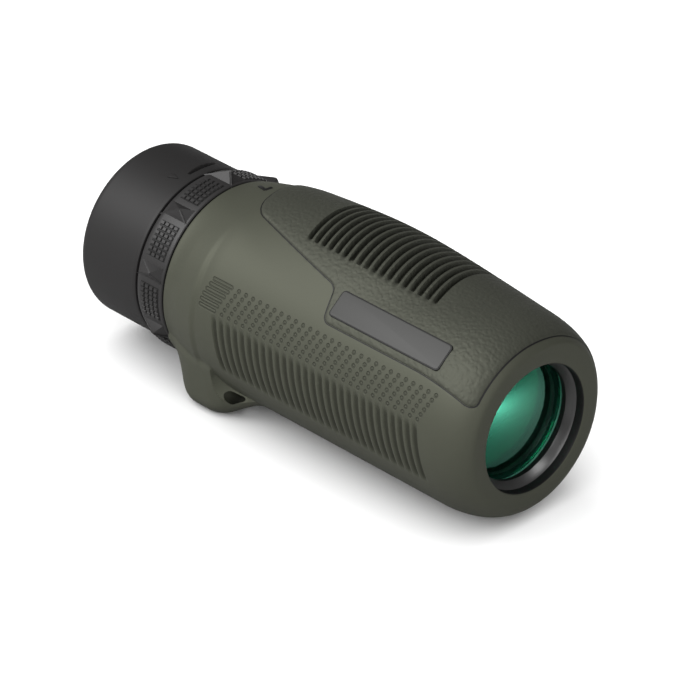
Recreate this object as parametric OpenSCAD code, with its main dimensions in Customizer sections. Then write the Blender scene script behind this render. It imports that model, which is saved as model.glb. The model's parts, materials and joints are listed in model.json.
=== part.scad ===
// Compact roof-prism monocular, lying on a table on its barrel and lanyard lug.
// Row frame: +X along the optical axis towards the scene, +Z up, origin on the axis at the front opening.
// Working frame of the modules: +X up from the axis, -Y the badge side, +Z back from the front face.

/* [Armour] */
// Length of the rubber armour
armour_len = 86.3; // [84:0.1:90]
// Radius of the armour's barrel
barrel_r = 21.3; // [20.5:0.1:22.5]
// Fall of the nose from the barrel to the flat front face
nose_drop = 4.7; // [4.2:0.1:5]
// Length of the rounded nose
nose_len = 11; // [9:0.5:13]
// Length over which the rear draws in
shoulder_len = 14.3; // [13:0.1:15]
// Fall of the barrel at the rear edge
shoulder_drop = 1.9; // [1.6:0.1:2.1]
// Width of the flat rim round the front opening
rim_w = 2.95; // [2.7:0.05:3.4]
// Thickness of the armour's front wall
front_wall = 2; // [1.6:0.1:2.4]
// Thickness of the armour over the housing
armour_t = 2.4; // [2.3:0.05:2.6]
// Glue line between the armour and what it covers
bond_gap = 0.05; // [0.03:0.01:0.08]

/* [Crown] */
// Height of the top bulge's axis above the optical axis
bulge_lift = 3.2; // [2.8:0.1:3.6]
// Height of the crown's crest above the barrel
crest_rise = 2.9; // [2.7:0.1:3.6]
// Place of the crest along the armour, from the front
crest_share = 0.568; // [0.5:0.002:0.62]
// Slope of the crown away from its crest
crown_slope = 0.1; // [0.08:0.005:0.11]
// Length over which the crest rounds
crest_round = 14; // [10:1:20]
// Share of the nose's fall that the crown takes
crown_nose = 0.55; // [0.45:0.05:0.65]
// Fall of the crown at the rear edge
crown_drop = 1.9; // [1.5:0.1:2.2]

/* [Grip panel] */
// Depth of the panel's recess in the armour
panel_depth = 1.2; // [1:0.05:1.3]
// Height of the panel above the armour
panel_proud = 0.3; // [0.2:0.05:0.5]
// Distance of the panel's front edge behind the front
panel_front = 1.3; // [1:0.1:2]
// Distance of the panel's rear edge from the armour's rear edge
panel_rear_gap = 8.9; // [8:0.1:10]
// Radius of the panel's rear edge, seen from above
panel_rear_round = 48; // [40:1:60]
// Depth of the panel's low edge below the axis
panel_low = 1; // [0.6:0.1:1.4]
// Margin of the panel behind the badge plate
panel_margin = 0.8; // [0.6:0.1:1]
// Radius of the panel's corners behind the badge plate
panel_corner = 1.4; // [1:0.1:1.6]
// Height of the panel's step behind the badge plate, as a share of the barrel's radius
panel_step_share = 0.3; // [0.29:0.01:0.33]
// Height of the panel's rear corner, as a share of the barrel's radius
panel_tail_share = 0.62; // [0.58:0.01:0.66]
// Distance of the rear corner in front of the panel's rear edge
panel_tail = 2.3; // [2:0.1:3]
// Count of grooves over the top
top_groove_count = 18; // [14:1:18]
// Spacing of the top grooves
top_groove_pitch = 2; // [1.9:0.05:2.1]
// Width of a top groove
top_groove_w = 1.15; // [1:0.05:1.3]
// Depth of a top groove
top_groove_depth = 1.05; // [0.8:0.05:1.1]
// Depth of the top grooves' ends below the barrel's top
top_groove_drop = 8.9; // [8:0.1:9.5]
// Distance of the first top groove's end behind the front
top_groove_first = 23; // [21:0.5:24]

/* [Side ribs] */
// Lean of every rib and groove towards the eyepiece
rib_lean = 14; // [8:1:16]
// Spacing of the side grooves
side_groove_pitch = 2.03; // [1.9:0.01:2.2]
// Width of a side groove
side_groove_w = 0.9; // [0.7:0.05:1.1]
// Depth of a side groove
side_groove_depth = 0.5; // [0.3:0.05:0.7]
// Distance of the first side groove's middle behind the front
side_groove_first = 11.6; // [11:0.1:13]
// Distance of the last side groove from the armour's rear edge
side_groove_last = 17.8; // [17:0.1:20]
// Depth below the axis where the side grooves start
side_groove_top = 10.2; // [9.5:0.1:11]
// Height of the side grooves' ends above the barrel's bottom
side_groove_foot = 2.9; // [2.7:0.1:4]

/* [Badge plate] */
// Length of the badge plate
plate_len = 29.8; // [26:0.1:30]
// Width of the badge plate
plate_w = 5.5; // [5:0.1:6]
// Thickness of the badge plate
plate_t = 0.7; // [0.6:0.05:0.9]
// Corner radius of the badge plate
plate_corner = 0.7; // [0.4:0.1:1]
// Distance of the plate's middle behind the front
plate_s = 26.4; // [25:0.1:28]
// Angle of the plate's middle from the top, round to the badge side
plate_turn = 80.5; // [79:0.5:82]
// Depth of the plate's seat below the barrel's skin
plate_sink = 0.2; // [0.1:0.05:0.3]
// Gap round the plate in its pocket
plate_gap = 0.08; // [0.05:0.01:0.2]

/* [Lanyard lug] */
// Reach of the lug below the barrel
lug_drop = 5.9; // [5.5:0.1:6.5]
// Radius of the lug's rounded tip
lug_tip_r = 3.5; // [3.2:0.1:3.8]
// Depth below the barrel's skin that the flanks run out to
lug_root_sink = 1.3; // [1:0.1:1.6]
// Length of the spreading flanks
lug_len = 16.3; // [15.5:0.1:17]
// Radius of the hollow in front of each flank
lug_scoop_r = 14; // [12:0.5:15]
// Distance of the tip's rear corner from the armour's rear edge
lug_heel = 5.5; // [5:0.1:6.5]
// Distance of the tip's front corner behind the flanks' start
lug_toe = 1.8; // [1.5:0.1:2.2]
// Distance from the flanks' start forward to the keel's end on the barrel
lug_keel = 8.6; // [8.4:0.1:9.5]
// Radius of the lanyard hole
lanyard_r = 1.25; // [1:0.05:1.3]
// Distance of the lanyard hole in front of the flanks
lanyard_inset = 1.2; // [0.8:0.1:1.4]
// Rubber left between the lanyard hole and the barrel
lanyard_wall = 0.4; // [0.3:0.05:0.6]

/* [Housing] */
// Wall of the housing round the prism chamber
housing_wall = 1.6; // [1.4:0.1:1.8]
// Step from the housing's barrel to its nose
housing_step = 2.4; // [2.2:0.1:2.6]
// Length of the housing's rear collar
collar_len = 14.8; // [14.5:0.1:15.2]
// Rubber over the rear collar
collar_cover = 2.2; // [2:0.1:2.4]
// Thickness of the chamber's rear wall
chamber_wall = 4.5; // [4:0.5:5]
// Step from the collar to the neck of the focus ring
neck_step = 1.6; // [1.4:0.1:1.8]
// Step from the focus ring's neck to the eyecup's neck
stub_step = 1.2; // [1.1:0.1:1.3]
// Wall of the eyecup's neck
stub_wall = 2; // [1.9:0.1:2.2]
// Length of the neck that carries the eyecup
stub_len = 11; // [10.8:0.1:11.2]
// Radial clearance of running and sliding fits
running_gap = 0.05; // [0.03:0.01:0.08]
// Clearance of pieces that are bonded or screwed in
seat_gap = 0.03; // [0.02:0.01:0.05]

/* [Objective] */
// Lap of the objective cell outside the front opening
cell_lap = 0.95; // [0.9:0.05:1.2]
// Lap of the front opening over the lens edge
lens_lap = 0.7; // [0.6:0.05:0.8]
// Lip of the retaining ring over the lens edge
ring_lip = 0.55; // [0.4:0.05:0.7]
// Lap of the ring's thread outside the lens edge
thread_lap = 0.25; // [0.2:0.05:0.3]
// Length of the objective cell
cell_len = 12; // [11.5:0.1:13]
// Distance of the cell's front behind the housing's front
cell_inset = 0.4; // [0.3:0.1:0.6]
// Depth of the retaining ring's thread in the cell
cell_thread = 2.8; // [2.6:0.1:3]
// Front curve of the crown lens
crown_front_curve = 62; // [55:1:75]
// Cemented curve between crown and flint
cement_curve = 45; // [43:1:60]
// Rear curve of the flint lens
flint_rear_curve = 160; // [120:5:200]
// Edge thickness of the crown lens
crown_edge = 2; // [1.8:0.1:2.4]
// Edge thickness of the flint lens
flint_edge = 3.6; // [3.4:0.1:4]
// Section radius of the O-rings
o_ring_r = 0.5; // [0.4:0.05:0.55]

/* [Prisms] */
// Half height of the prism pair's entrance face, as a share of the chamber's radius
prism_share = 0.393; // [0.36:0.001:0.395]
// Air gap between the two prisms
prism_gap = 0.3; // [0.2:0.05:0.4]
// Glue gap beside the prisms
prism_play = 0.1; // [0.06:0.02:0.14]
// Room between the prisms and the frame's end plates
prism_room = 0.6; // [0.4:0.1:0.8]
// Thickness of the prism frame's end plates
frame_plate = 1.3; // [1.1:0.1:1.4]
// Lip of the frame's apertures over the prism faces
aperture_lip = 0.4; // [0.2:0.1:0.8]
// Radius of the prism frame's screws
screw_r = 1; // [0.8:0.1:1.2]
// Depth of the screws' counterbores
screw_sink = 1; // [0.8:0.1:1.1]

/* [Baffle and stop] */
// Wall of the light baffle
baffle_wall = 0.8; // [0.6:0.1:1]
// Thickness of a ring in the light baffle
baffle_ring = 0.6; // [0.5:0.1:0.8]
// Count of rings in the light baffle
baffle_count = 4; // [3:1:6]
// Thickness of the field stop
stop_t = 1.2; // [1:0.1:1.5]

/* [Focus] */
// Width of the focus ring along the axis
ring_w = 8.1; // [7.9:0.1:8.4]
// Gap between the focus ring and its neighbours
ring_gap = 0.3; // [0.25:0.05:0.4]
// Wall of the ring's rigid core
core_t = 1.75; // [1.65:0.05:1.9]
// Thickness of the grip between its pads
grip_t = 2; // [1.9:0.05:2.1]
// Count of knurled pads round the grip
pad_count = 9; // [8:1:10]
// Angle that a pad covers
pad_turn = 23; // [21:1:24]
// Angle of a pad's middle from the top, round to the badge side, at rest
pad_rest = 94.6; // [90:0.2:100]
// Height of the pads above the grip
pad_h = 0.3; // [0.2:0.05:0.35]
// Distance of the pads behind the ring's front face
pad_inset = 1; // [0.8:0.1:1.2]
// Length of the pads along the axis
pad_len = 5.2; // [5:0.1:5.4]
// Count of squares along a pad
knurl_columns = 4; // [3:1:5]
// Count of squares round a pad
knurl_rows = 7; // [5:1:8]
// Width of the cuts between the squares
knurl_cut = 0.4; // [0.3:0.05:0.5]
// Height of the studs between the pads
stud_h = 1.6; // [1.2:0.1:1.6]
// Width of a stud round the grip
stud_w = 3; // [2.6:0.1:3.2]
// Length of a stud along the axis
stud_len = 5.9; // [5.6:0.1:6]
// Distance of a stud behind the ring's front face
stud_inset = 0.7; // [0.6:0.05:0.9]
// Distance of a stud's peak behind its front edge
stud_peak = 2; // [1.8:0.1:2.4]
// Turn of the focus ring
focus_turn = 150; // [120:5:150]
// Travel of the focus lens
focus_travel = 3; // [2.5:0.1:3]
// Radius of the focus pins
pin_r = 1; // [0.8:0.05:1]
// Clearance of a pin in its groove
cam_gap = 0.25; // [0.2:0.05:0.3]
// Depth of the cam grooves in the core
cam_depth = 1.15; // [1:0.05:1.2]
// Distance of the focus pins from the ring's rear face, at rest
focus_pin_inset = 2.7; // [2.6:0.1:2.8]
// Length of the focus lens cell
focus_cell_len = 8.4; // [8:0.1:8.8]
// Thickness of the focus cell's seat
focus_seat = 1.2; // [1:0.1:1.4]
// Wall between the focus and eye lenses and the neck's bore
lens_wall = 2; // [1.9:0.1:2.4]
// Lip of a lens cell's seat over the lens edge
seat_lip = 0.8; // [0.6:0.1:1]
// Width of the retaining rings behind the focus and eye lenses
lens_ring_w = 1.2; // [1:0.1:1.4]
// Front curve of the focus lens
focus_front_curve = 34; // [32:1:40]
// Rear curve of the focus lens
focus_rear_curve = 80; // [70:1:100]
// Edge thickness of the focus lens
focus_lens_edge = 2.2; // [2:0.1:2.6]

/* [Circlip] */
// Width of the circlip along the axis
circlip_w = 1; // [0.9:0.05:1.1]
// Depth of the circlip's groove in the neck
circlip_sink = 0.6; // [0.5:0.05:0.7]
// Reach of the circlip outside the neck
circlip_proud = 1.3; // [1.1:0.1:1.4]
// Gap between the circlip's ends
circlip_slot = 3; // [2:0.5:5]

/* [Eyepiece] */
// Gap between the focus cell at rest and the eyepiece cell
eye_cell_gap = 1.2; // [1:0.1:1.4]
// Thickness of the eyepiece cell's seat
eye_seat = 1.4; // [1.2:0.1:1.6]
// Thickness of the eyepiece cell's flange
eye_flange = 1.2; // [1:0.1:1.3]
// Distance of the eyepiece O-ring's groove behind the cell's front
eye_groove = 2; // [1.8:0.1:2.4]
// Front curve of the eye lens
eye_front_curve = 26; // [24:1:32]
// Rear curve of the eye lens
eye_rear_curve = 48; // [44:1:60]
// Edge thickness of the eye lens
eye_lens_edge = 2.6; // [2.4:0.1:3]

/* [Eyecup] */
// Length of the eyecup
eyecup_len = 17.6; // [16.8:0.1:18.5]
// Radius of the eyecup's rounded rim
eyecup_rim = 2.4; // [2:0.1:2.5]
// Wall of the eyecup's sleeve
sleeve_t = 1.55; // [1.5:0.05:1.7]
// Thickness of the eyecup's rubber
eyecup_t = 2.9; // [2.6:0.1:3.2]
// Lap of the eyecup's lip over the neck
lip_lap = 1.4; // [1.2:0.1:1.8]
// Gap between the sleeve's rear end and the rounded rim
sleeve_inset = 0.2; // [0.1:0.05:0.3]
// Twist of the eyecup
eyecup_turn = 120; // [100:5:120]
// Climb of the eyecup
eyecup_climb = 7; // [6:0.1:7]
// Distance of the guide pins from the neck's step, eyecup down
guide_inset = 1.8; // [1.7:0.05:1.85]
// Radius of the guide pins
guide_r = 0.9; // [0.8:0.05:0.95]
// Depth of the guide grooves in the neck
guide_depth = 1.2; // [1.1:0.05:1.3]
// Overrun of a guide groove past each end of the twist
guide_over = 6; // [5:0.5:7]
// Distance of the friction ring behind the sleeve's front
friction_s = 4.2; // [4:0.1:5]
// Width of the friction ring
friction_w = 1.2; // [1:0.1:1.4]
// Thickness of the friction ring
friction_t = 0.7; // [0.6:0.05:0.8]

/* [Hidden] */
$fn = 96;

// Bands that stand for each curved stretch of a profile
nose_bands = 10;
crown_bands = 22;
rear_bands = 8;
// Points on a rounded corner, stations along a groove, facets of a lens sphere
corner_steps = 5;
cam_steps = 24;
lens_fn = 288;

// Radii of the armour and of what it covers
face_r = barrel_r - nose_drop;
opening_r = face_r - rim_w;
rear_r = barrel_r - shoulder_drop;
crest_r = barrel_r + crest_rise;
lug_reach = barrel_r + lug_drop;
lug_root_r = barrel_r - lug_root_sink;
plate_floor_r = barrel_r - plate_sink;
housing_r = barrel_r - armour_t;
chamber_r = housing_r - housing_wall;
collar_r = rear_r - collar_cover;

// Radii of the neck and of the rings on it
neck_r = collar_r - neck_step;
stub_r = neck_r - stub_step;
neck_bore_r = stub_r - stub_wall;
core_bore_r = neck_r + running_gap;
ring_core_r = core_bore_r + core_t;
ring_floor_r = ring_core_r + grip_t;
ring_pad_r = ring_floor_r + pad_h;
stud_r = ring_floor_r + stud_h;
cam_floor_r = core_bore_r + cam_depth;
circlip_r = neck_r + circlip_proud;
sleeve_bore_r = stub_r + running_gap;
sleeve_r = sleeve_bore_r + sleeve_t;
eyecup_r = sleeve_r + eyecup_t;
eye_opening_r = stub_r - lip_lap;
guide_floor_r = stub_r - guide_depth;

// Radii of the optics
cell_r = opening_r + cell_lap;
lens_r = opening_r - lens_lap;
objective_r = lens_r - ring_lip;
prism_half = chamber_r * prism_share;
frame_hole_r = prism_half - aperture_lip;
focus_cell_r = neck_bore_r - running_gap;
eye_cell_r = neck_bore_r - seat_gap;
eye_lens_r = neck_bore_r - lens_wall;
lens_seat_r = eye_lens_r - seat_lip;
lens_ring_r = eye_lens_r - lens_ring_w;

// Stations of the armour
shoulder_s = armour_len - shoulder_len;
crest_s = armour_len * crest_share;
panel_rear = armour_len - panel_rear_gap;
panel_step = barrel_r * panel_step_share;
panel_step_s = plate_s + plate_len / 2 + panel_margin;
lug_flank_s = armour_len - lug_len;
lanyard_s = lug_flank_s - lanyard_inset;
top_groove_end = barrel_r - top_groove_drop;
side_groove_bottom = barrel_r - side_groove_foot;
side_groove_run = armour_len - side_groove_last - side_groove_first;
side_groove_count = 1 + floor(side_groove_run / side_groove_pitch);

// Stations of the front half, each from the piece in front of it
housing_front = front_wall + bond_gap;
housing_step_s = nose_len * 0.64;
housing_top_s = nose_len * 1.45;
cell_front = housing_front + cell_inset;
cell_end = cell_front + cell_len;
lens_seat = cell_front + cell_thread;
crown_back = lens_seat + crown_edge;
flint_back = crown_back + flint_edge;
chamber_front = cell_end + 1.2 * o_ring_r;
chamber_end = armour_len - collar_len;
frame_back = chamber_end - seat_gap;
prism_depth = 2.53 * prism_half;
penta_depth = 2.07 * prism_half;
penta_drop = prism_half + penta_depth * tan(22.5);
prism_s = frame_back - frame_plate - 1.6 * prism_room - prism_depth;
frame_front = prism_s - frame_plate - prism_room;
screw_s = (frame_front + frame_back) / 2;
stop_s = chamber_end + chamber_wall;

// Stations of the rear half
collar_end = armour_len - ring_gap / 2;
ring_front = armour_len + ring_gap;
ring_back = ring_front + ring_w;
circlip_front = ring_back + ring_gap / 2;
stub_s = circlip_front + circlip_w + ring_gap / 2;
neck_end = stub_s + stub_len;
guide_s = stub_s + guide_inset;
eyecup_front = ring_back + ring_gap;
overall_len = eyecup_front + eyecup_len;
sleeve_front = stub_s + ring_gap;
sleeve_back = overall_len - eyecup_rim - sleeve_inset;
friction_front = sleeve_front + friction_s;
focus_pin_s = ring_back - focus_pin_inset;
focus_cell_front = focus_pin_s - focus_cell_len / 2;
focus_lens_front = focus_cell_front + focus_seat + seat_gap
    + edge_rise(focus_front_curve, eye_lens_r, lens_seat_r);
focus_lens_back = focus_lens_front + focus_lens_edge;
eye_cell_front = focus_cell_front + focus_cell_len + eye_cell_gap;
eye_lens_front = eye_cell_front + eye_seat + seat_gap
    + edge_rise(eye_front_curve, eye_lens_r, lens_seat_r);
eye_lens_back = eye_lens_front + eye_lens_edge;

// Roll at which the barrel and the lug's tip touch the same table
rest_roll = acos((barrel_r - lug_tip_r) / (lug_reach - lug_tip_r));
// Length and width past every piece, for cutting blocks
reach = 3 * barrel_r;

// Depth of a spherical face at a radius, and the part of it outside an inner radius
function sag(curve, r) = curve - sqrt(pow(curve, 2) - pow(r, 2));
function edge_rise(curve, r, inner_r) = sag(curve, r) - sag(curve, inner_r);

// Fractions of a smooth step from 0 to 1
function smooth(t) = let(c = max(0, min(1, t))) c * c * (3 - 2 * c);

// Radius of the barrel, distance s behind the front
function nose_fall(s) =
    (barrel_r - face_r) * (1 - sqrt(max(0, 1 - pow(1 - min(s, nose_len) / nose_len, 2))));
function barrel_at(s) = barrel_r - nose_fall(s)
    - (barrel_r - rear_r) * smooth((s - shoulder_s) / (armour_len - shoulder_s));

// Radius of the top bulge about its own axis
function rear_fall(s) =
    crown_drop * pow(max(0, s - shoulder_s) / (armour_len - shoulder_s), 1.5);
function crown_at(s) = crest_r
    - crown_slope * (sqrt(pow(s - crest_s, 2) + pow(crest_round, 2)) - crest_round);
function bulge_at(s) = crown_at(s) - bulge_lift - crown_nose * nose_fall(s) - rear_fall(s);

// Stations of the two profiles, close together on the nose
function nose_stations() = [for (i = [0 : nose_bands]) nose_len * pow(i / nose_bands, 2)];
function barrel_stations() = concat(nose_stations(),
    [for (i = [0 : rear_bands]) shoulder_s + (armour_len - shoulder_s) * i / rear_bands]);
function bulge_stations() = concat(nose_stations(),
    [for (i = [1 : crown_bands]) nose_len + (armour_len - nose_len) * i / crown_bands]);

// Corner b of a polygon, rounded with radius r between its neighbours a and c
function unit(v) = v / norm(v);
function fillet(a, b, c, r) = let(
    u = unit(a - b),
    w = unit(c - b),
    half = acos(u * w) / 2,
    centre = b + unit(u + w) * r / sin(half),
    start = b + u * r / tan(half) - centre,
    turn = sign(u[0] * w[1] - u[1] * w[0]) * (half * 2 - 180)
) [for (i = [0 : corner_steps]) let(k = turn * i / corner_steps)
    centre + [start[0] * cos(k) - start[1] * sin(k), start[0] * sin(k) + start[1] * cos(k)]];
function xy(p) = [p[0], p[1]];
function rounded(p) = let(n = len(p)) [for (i = [0 : n - 1])
    each p[i][2] == 0 ? [xy(p[i])] : fillet(xy(p[(i + n - 1) % n]), xy(p[i]), xy(p[(i + 1) % n]), p[i][2])];

// Working frame to row frame
module placed() {
    rotate([-rest_roll, 0, 0]) rotate([0, -90, 0]) children();
}

// Turned solid from a profile of [radius, station] points
module turned(profile) {
    rotate_extrude() polygon(profile);
}

// Plain tube between two stations
module tube(r_out, r_in, from, to) {
    translate([0, 0, from]) difference() {
        cylinder(r = r_out, h = to - from);
        translate([0, 0, -1]) cylinder(r = r_in, h = to - from + 2);
    }
}

// Disc or rod between two stations
module rod(r, from, to) {
    translate([0, 0, from]) cylinder(r = r, h = to - from);
}

// Radial rod at an angle from the top, between two radii
module radial_rod(turn, s, r, from, to) {
    rotate([0, 0, turn]) translate([0, 0, s]) rotate([0, 90, 0]) rod(r, from, to);
}

// Children drawn as a side view, [height, station], through the whole width
module side_view() {
    rotate([90, 0, 0]) linear_extrude(height = reach, center = true) children();
}

// Children drawn as a plan, [width, station], through the whole height
module plan_view() {
    rotate([90, 0, 90]) linear_extrude(height = reach, center = true) children();
}

// Barrel and top bulge together, grown by some amount
module body_form(grow) {
    turned(concat([[0, 0]], [for (s = barrel_stations()) [barrel_at(s) + grow, s]], [[0, armour_len]]));
    translate([bulge_lift, 0, 0])
        turned(concat([[0, 0]], [for (s = bulge_stations()) [bulge_at(s) + grow, s]], [[0, armour_len]]));
}

// Leaning slab between two heights, with its middle at station s
module lean_slab(s, w, low, high) {
    translate([(low + high) / 2, 0, s]) rotate([0, -rib_lean, 0])
        cube([(high - low) / cos(rib_lean), reach, w], center = true);
}

// Outline that the grip panel and its recess share
module panel_outline() {
    intersection() {
        side_view() polygon(rounded([
            [reach / 2, panel_rear + 1, 0],
            [reach / 2, panel_front, 0],
            [-panel_low, panel_front, panel_corner],
            [-panel_low, panel_step_s, panel_corner],
            [panel_step, panel_step_s + (panel_low + panel_step) * tan(rib_lean), panel_corner],
            [barrel_r * panel_tail_share, panel_rear - panel_tail, 2 * panel_corner],
            [barrel_r, panel_rear, 0]
        ]));
        plan_view() union() {
            translate([0, panel_rear - panel_rear_round]) circle(panel_rear_round);
            translate([-reach / 2, 0]) square([reach, panel_rear - panel_rear_round]);
        }
    }
}

// Pocket or plate on the badge side, standing from a radius outwards
module badge_block(grow, floor_r, height) {
    rotate([0, 0, -plate_turn]) translate([floor_r, 0, plate_s]) rotate([0, 90, 0])
        linear_extrude(height = height) badge_outline(plate_len + 2 * grow, plate_w + 2 * grow);
}

module badge_outline(long, wide) {
    square([long - 2 * plate_corner, wide], center = true);
    square([long, wide - 2 * plate_corner], center = true);
    for (x = [-1, 1], y = [-1, 1])
        translate([x * (long / 2 - plate_corner), y * (wide / 2 - plate_corner)]) circle(plate_corner);
}

// Lug: wide flanks behind, narrow keel running down to the barrel in front
module lug() {
    tip = lug_reach - lug_tip_r;
    flank = acos((lug_root_r - lug_tip_r) / tip);
    intersection() {
        side_view() polygon(rounded([
            [0, armour_len, 0],
            [-lug_root_r, armour_len, 1],
            [-lug_reach, armour_len - lug_heel, 5],
            [-lug_reach, lug_flank_s + lug_toe, 2.5],
            [-lug_root_r, lug_flank_s - lug_keel, 0],
            [0, lug_flank_s - lug_keel, 0]
        ]));
        union() {
            difference() {
                translate([0, 0, lug_flank_s]) linear_extrude(height = armour_len - lug_flank_s) polygon([
                    [-lug_root_r * cos(flank), -lug_root_r * sin(flank)],
                    [-tip - lug_tip_r * cos(flank), -lug_tip_r * sin(flank)],
                    [-tip - lug_tip_r * cos(flank), lug_tip_r * sin(flank)],
                    [-lug_root_r * cos(flank), lug_root_r * sin(flank)]
                ]);
                for (side = [-1, 1])
                    translate([-reach, side * (lug_tip_r + lug_scoop_r), lug_flank_s]) rotate([0, 90, 0])
                        cylinder(r = lug_scoop_r, h = reach);
            }
            translate([-tip, 0, 0]) cylinder(r = lug_tip_r, h = armour_len);
            translate([-tip, -lug_tip_r, 0]) cube([tip, 2 * lug_tip_r, armour_len]);
        }
    }
}

// Space inside the armour, which the housing fills less the glue line
module housing_form(grow) {
    rod(housing_r - housing_step + grow, housing_front - grow, nose_len);
    rod(housing_r + grow, housing_step_s - grow, stop_s + grow);
    raised_form(armour_t - grow, housing_top_s - grow, chamber_end + housing_wall + grow);
}

// Raised top between two stations, some depth under the crown's skin
module raised_form(depth, from, to) {
    stations = [for (i = [0 : crown_bands]) from + (to - from) * i / crown_bands];
    translate([bulge_lift, 0, 0])
        turned(concat([[0, from]], [for (s = stations) [bulge_at(s) - depth, s]], [[0, to]]));
}

// Helical groove cutter from one angle and station to another
module cam_groove(r_in, r_out, w, turn_from, turn_by, s_from, s_by) {
    corners = [[r_in, -w / 2], [r_out, -w / 2], [r_out, w / 2], [r_in, w / 2]];
    points = [for (i = [0 : cam_steps]) let(a = turn_from + turn_by * i / cam_steps)
        for (c = corners) [c[0] * cos(a), c[0] * sin(a), c[1] + s_from + s_by * i / cam_steps]];
    last = 4 * cam_steps;
    faces = concat(
        [[2, 1, 0], [3, 2, 0], [last + 1, last + 2, last], [last + 2, last + 3, last]],
        [for (i = [0 : cam_steps - 1], k = [0 : 3]) let(a = 4 * i + k, b = 4 * i + (k + 1) % 4)
            each [[b + 4, a + 4, a], [b, b + 4, a]]]);
    polyhedron(points, faces);
}

// O-ring seated at a radius
module o_ring(mid_r, s) {
    translate([0, 0, s]) rotate_extrude() translate([mid_r, 0]) circle(o_ring_r, $fn = 32);
}

// Lens bounded by two spheres and an edge: positive curves bulge outwards
module lens(r, from, to, front_curve, back_curve) {
    front_sag = sag(front_curve, r);
    back_sag = sag(back_curve, r);
    intersection() {
        rod(r, from - front_sag - 1, to + back_sag + 1);
        translate([0, 0, from - front_sag + front_curve]) sphere(front_curve, $fn = lens_fn);
        translate([0, 0, to + back_sag - back_curve]) sphere(back_curve, $fn = lens_fn);
    }
}

module rubber_armour() {
    color([0.30, 0.31, 0.26]) placed() difference() {
        union() {
            body_form(0);
            lug();
        }
        difference() {
            panel_outline();
            body_form(-panel_depth);
        }
        difference() {
            for (i = [0 : side_groove_count - 1])
                lean_slab(side_groove_first + i * side_groove_pitch, side_groove_w,
                    -side_groove_bottom, -side_groove_top);
            rod(barrel_r - side_groove_depth, 0, armour_len);
        }
        rod(opening_r, -1, housing_front + 1);
        housing_form(bond_gap);
        rod(collar_r + bond_gap, chamber_end, armour_len + 1);
        translate([-barrel_r - lanyard_wall - lanyard_r, reach / 2, lanyard_s]) rotate([90, 0, 0])
            cylinder(r = lanyard_r, h = reach);
    }
}

module top_panel() {
    color([0.27, 0.28, 0.24]) placed() difference() {
        intersection() {
            body_form(panel_proud);
            panel_outline();
        }
        body_form(bond_gap - panel_depth);
        difference() {
            for (i = [0 : top_groove_count - 1])
                let(rise = (reach / 2 - top_groove_end) / 2)
                    lean_slab(top_groove_first + i * top_groove_pitch + rise * tan(rib_lean), top_groove_w,
                        top_groove_end, reach / 2);
            body_form(panel_proud - top_groove_depth);
        }
        badge_block(plate_gap, plate_floor_r, reach);
    }
}

module badge_plate() {
    color([0.40, 0.40, 0.40]) placed() badge_block(0, plate_floor_r + seat_gap, plate_t);
}

module main_housing() {
    slot_half = (focus_travel + 2 * pin_r) / 2 + 0.5;
    slot_mid = focus_pin_s - focus_travel / 2;
    color([0.20, 0.20, 0.21]) placed() difference() {
        union() {
            housing_form(0);
            rod(collar_r, chamber_end, collar_end);
            rod(neck_r, chamber_end, stub_s);
            rod(stub_r, chamber_end, neck_end);
        }
        rod(cell_r + seat_gap, 0, chamber_front + 1);
        rod(chamber_r, chamber_front, chamber_end);
        raised_form(armour_t + housing_wall, housing_top_s + housing_wall, chamber_end);
        rod(neck_bore_r - chamber_wall / 1.5, chamber_front, neck_end);
        rod(neck_bore_r, stop_s, neck_end + 1);
        for (turn = [90, 270]) {
            translate([0, 0, slot_mid]) rotate([0, 0, turn])
                translate([0, -pin_r - running_gap, -slot_half + pin_r])
                    cube([neck_r + 1, 2 * (pin_r + running_gap), 2 * (slot_half - pin_r)]);
            for (end = [-1, 1])
                radial_rod(turn, slot_mid + end * (slot_half - pin_r), pin_r + running_gap, 0, neck_r + 1);
            radial_rod(turn, screw_s, screw_r + seat_gap, 0, housing_r + 1);
            radial_rod(turn, screw_s, 1.9 * screw_r + seat_gap, housing_r - screw_sink, housing_r + 1);
        }
        tube(neck_r + 1, neck_r - circlip_sink, circlip_front - seat_gap, circlip_front + circlip_w + seat_gap);
        for (turn = [0, 180])
            cam_groove(guide_floor_r, stub_r + 1, 2 * (guide_r + cam_gap), turn - guide_over,
                eyecup_turn + 2 * guide_over, guide_s - eyecup_climb * guide_over / eyecup_turn,
                eyecup_climb * (1 + 2 * guide_over / eyecup_turn));
    }
}

module objective_cell() {
    color([0.08, 0.08, 0.08]) placed() difference() {
        rod(cell_r, cell_front, cell_end);
        rod(lens_r + thread_lap, cell_front - 1, lens_seat);
        rod(lens_r + seat_gap, lens_seat - 1, flint_back);
        rod(lens_r - 2 * ring_lip, flint_back - 1, cell_end + 1);
        tube(cell_r + 1, cell_r - 2 * o_ring_r, crown_back, crown_back + 3 * o_ring_r);
    }
}

module objective_retaining_ring() {
    back = lens_seat - seat_gap - edge_rise(crown_front_curve, lens_r, objective_r);
    color([0.22, 0.22, 0.23]) placed() turned([
        [lens_r + thread_lap - seat_gap, cell_front],
        [lens_r + thread_lap - seat_gap, back],
        [objective_r, back],
        [objective_r, back - cell_thread / 9],
        [lens_r + thread_lap / 2, cell_front]
    ]);
}

module objective_crown_lens() {
    color([0.05, 0.35, 0.22]) placed()
        lens(lens_r, lens_seat, crown_back, crown_front_curve, cement_curve);
}

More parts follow.
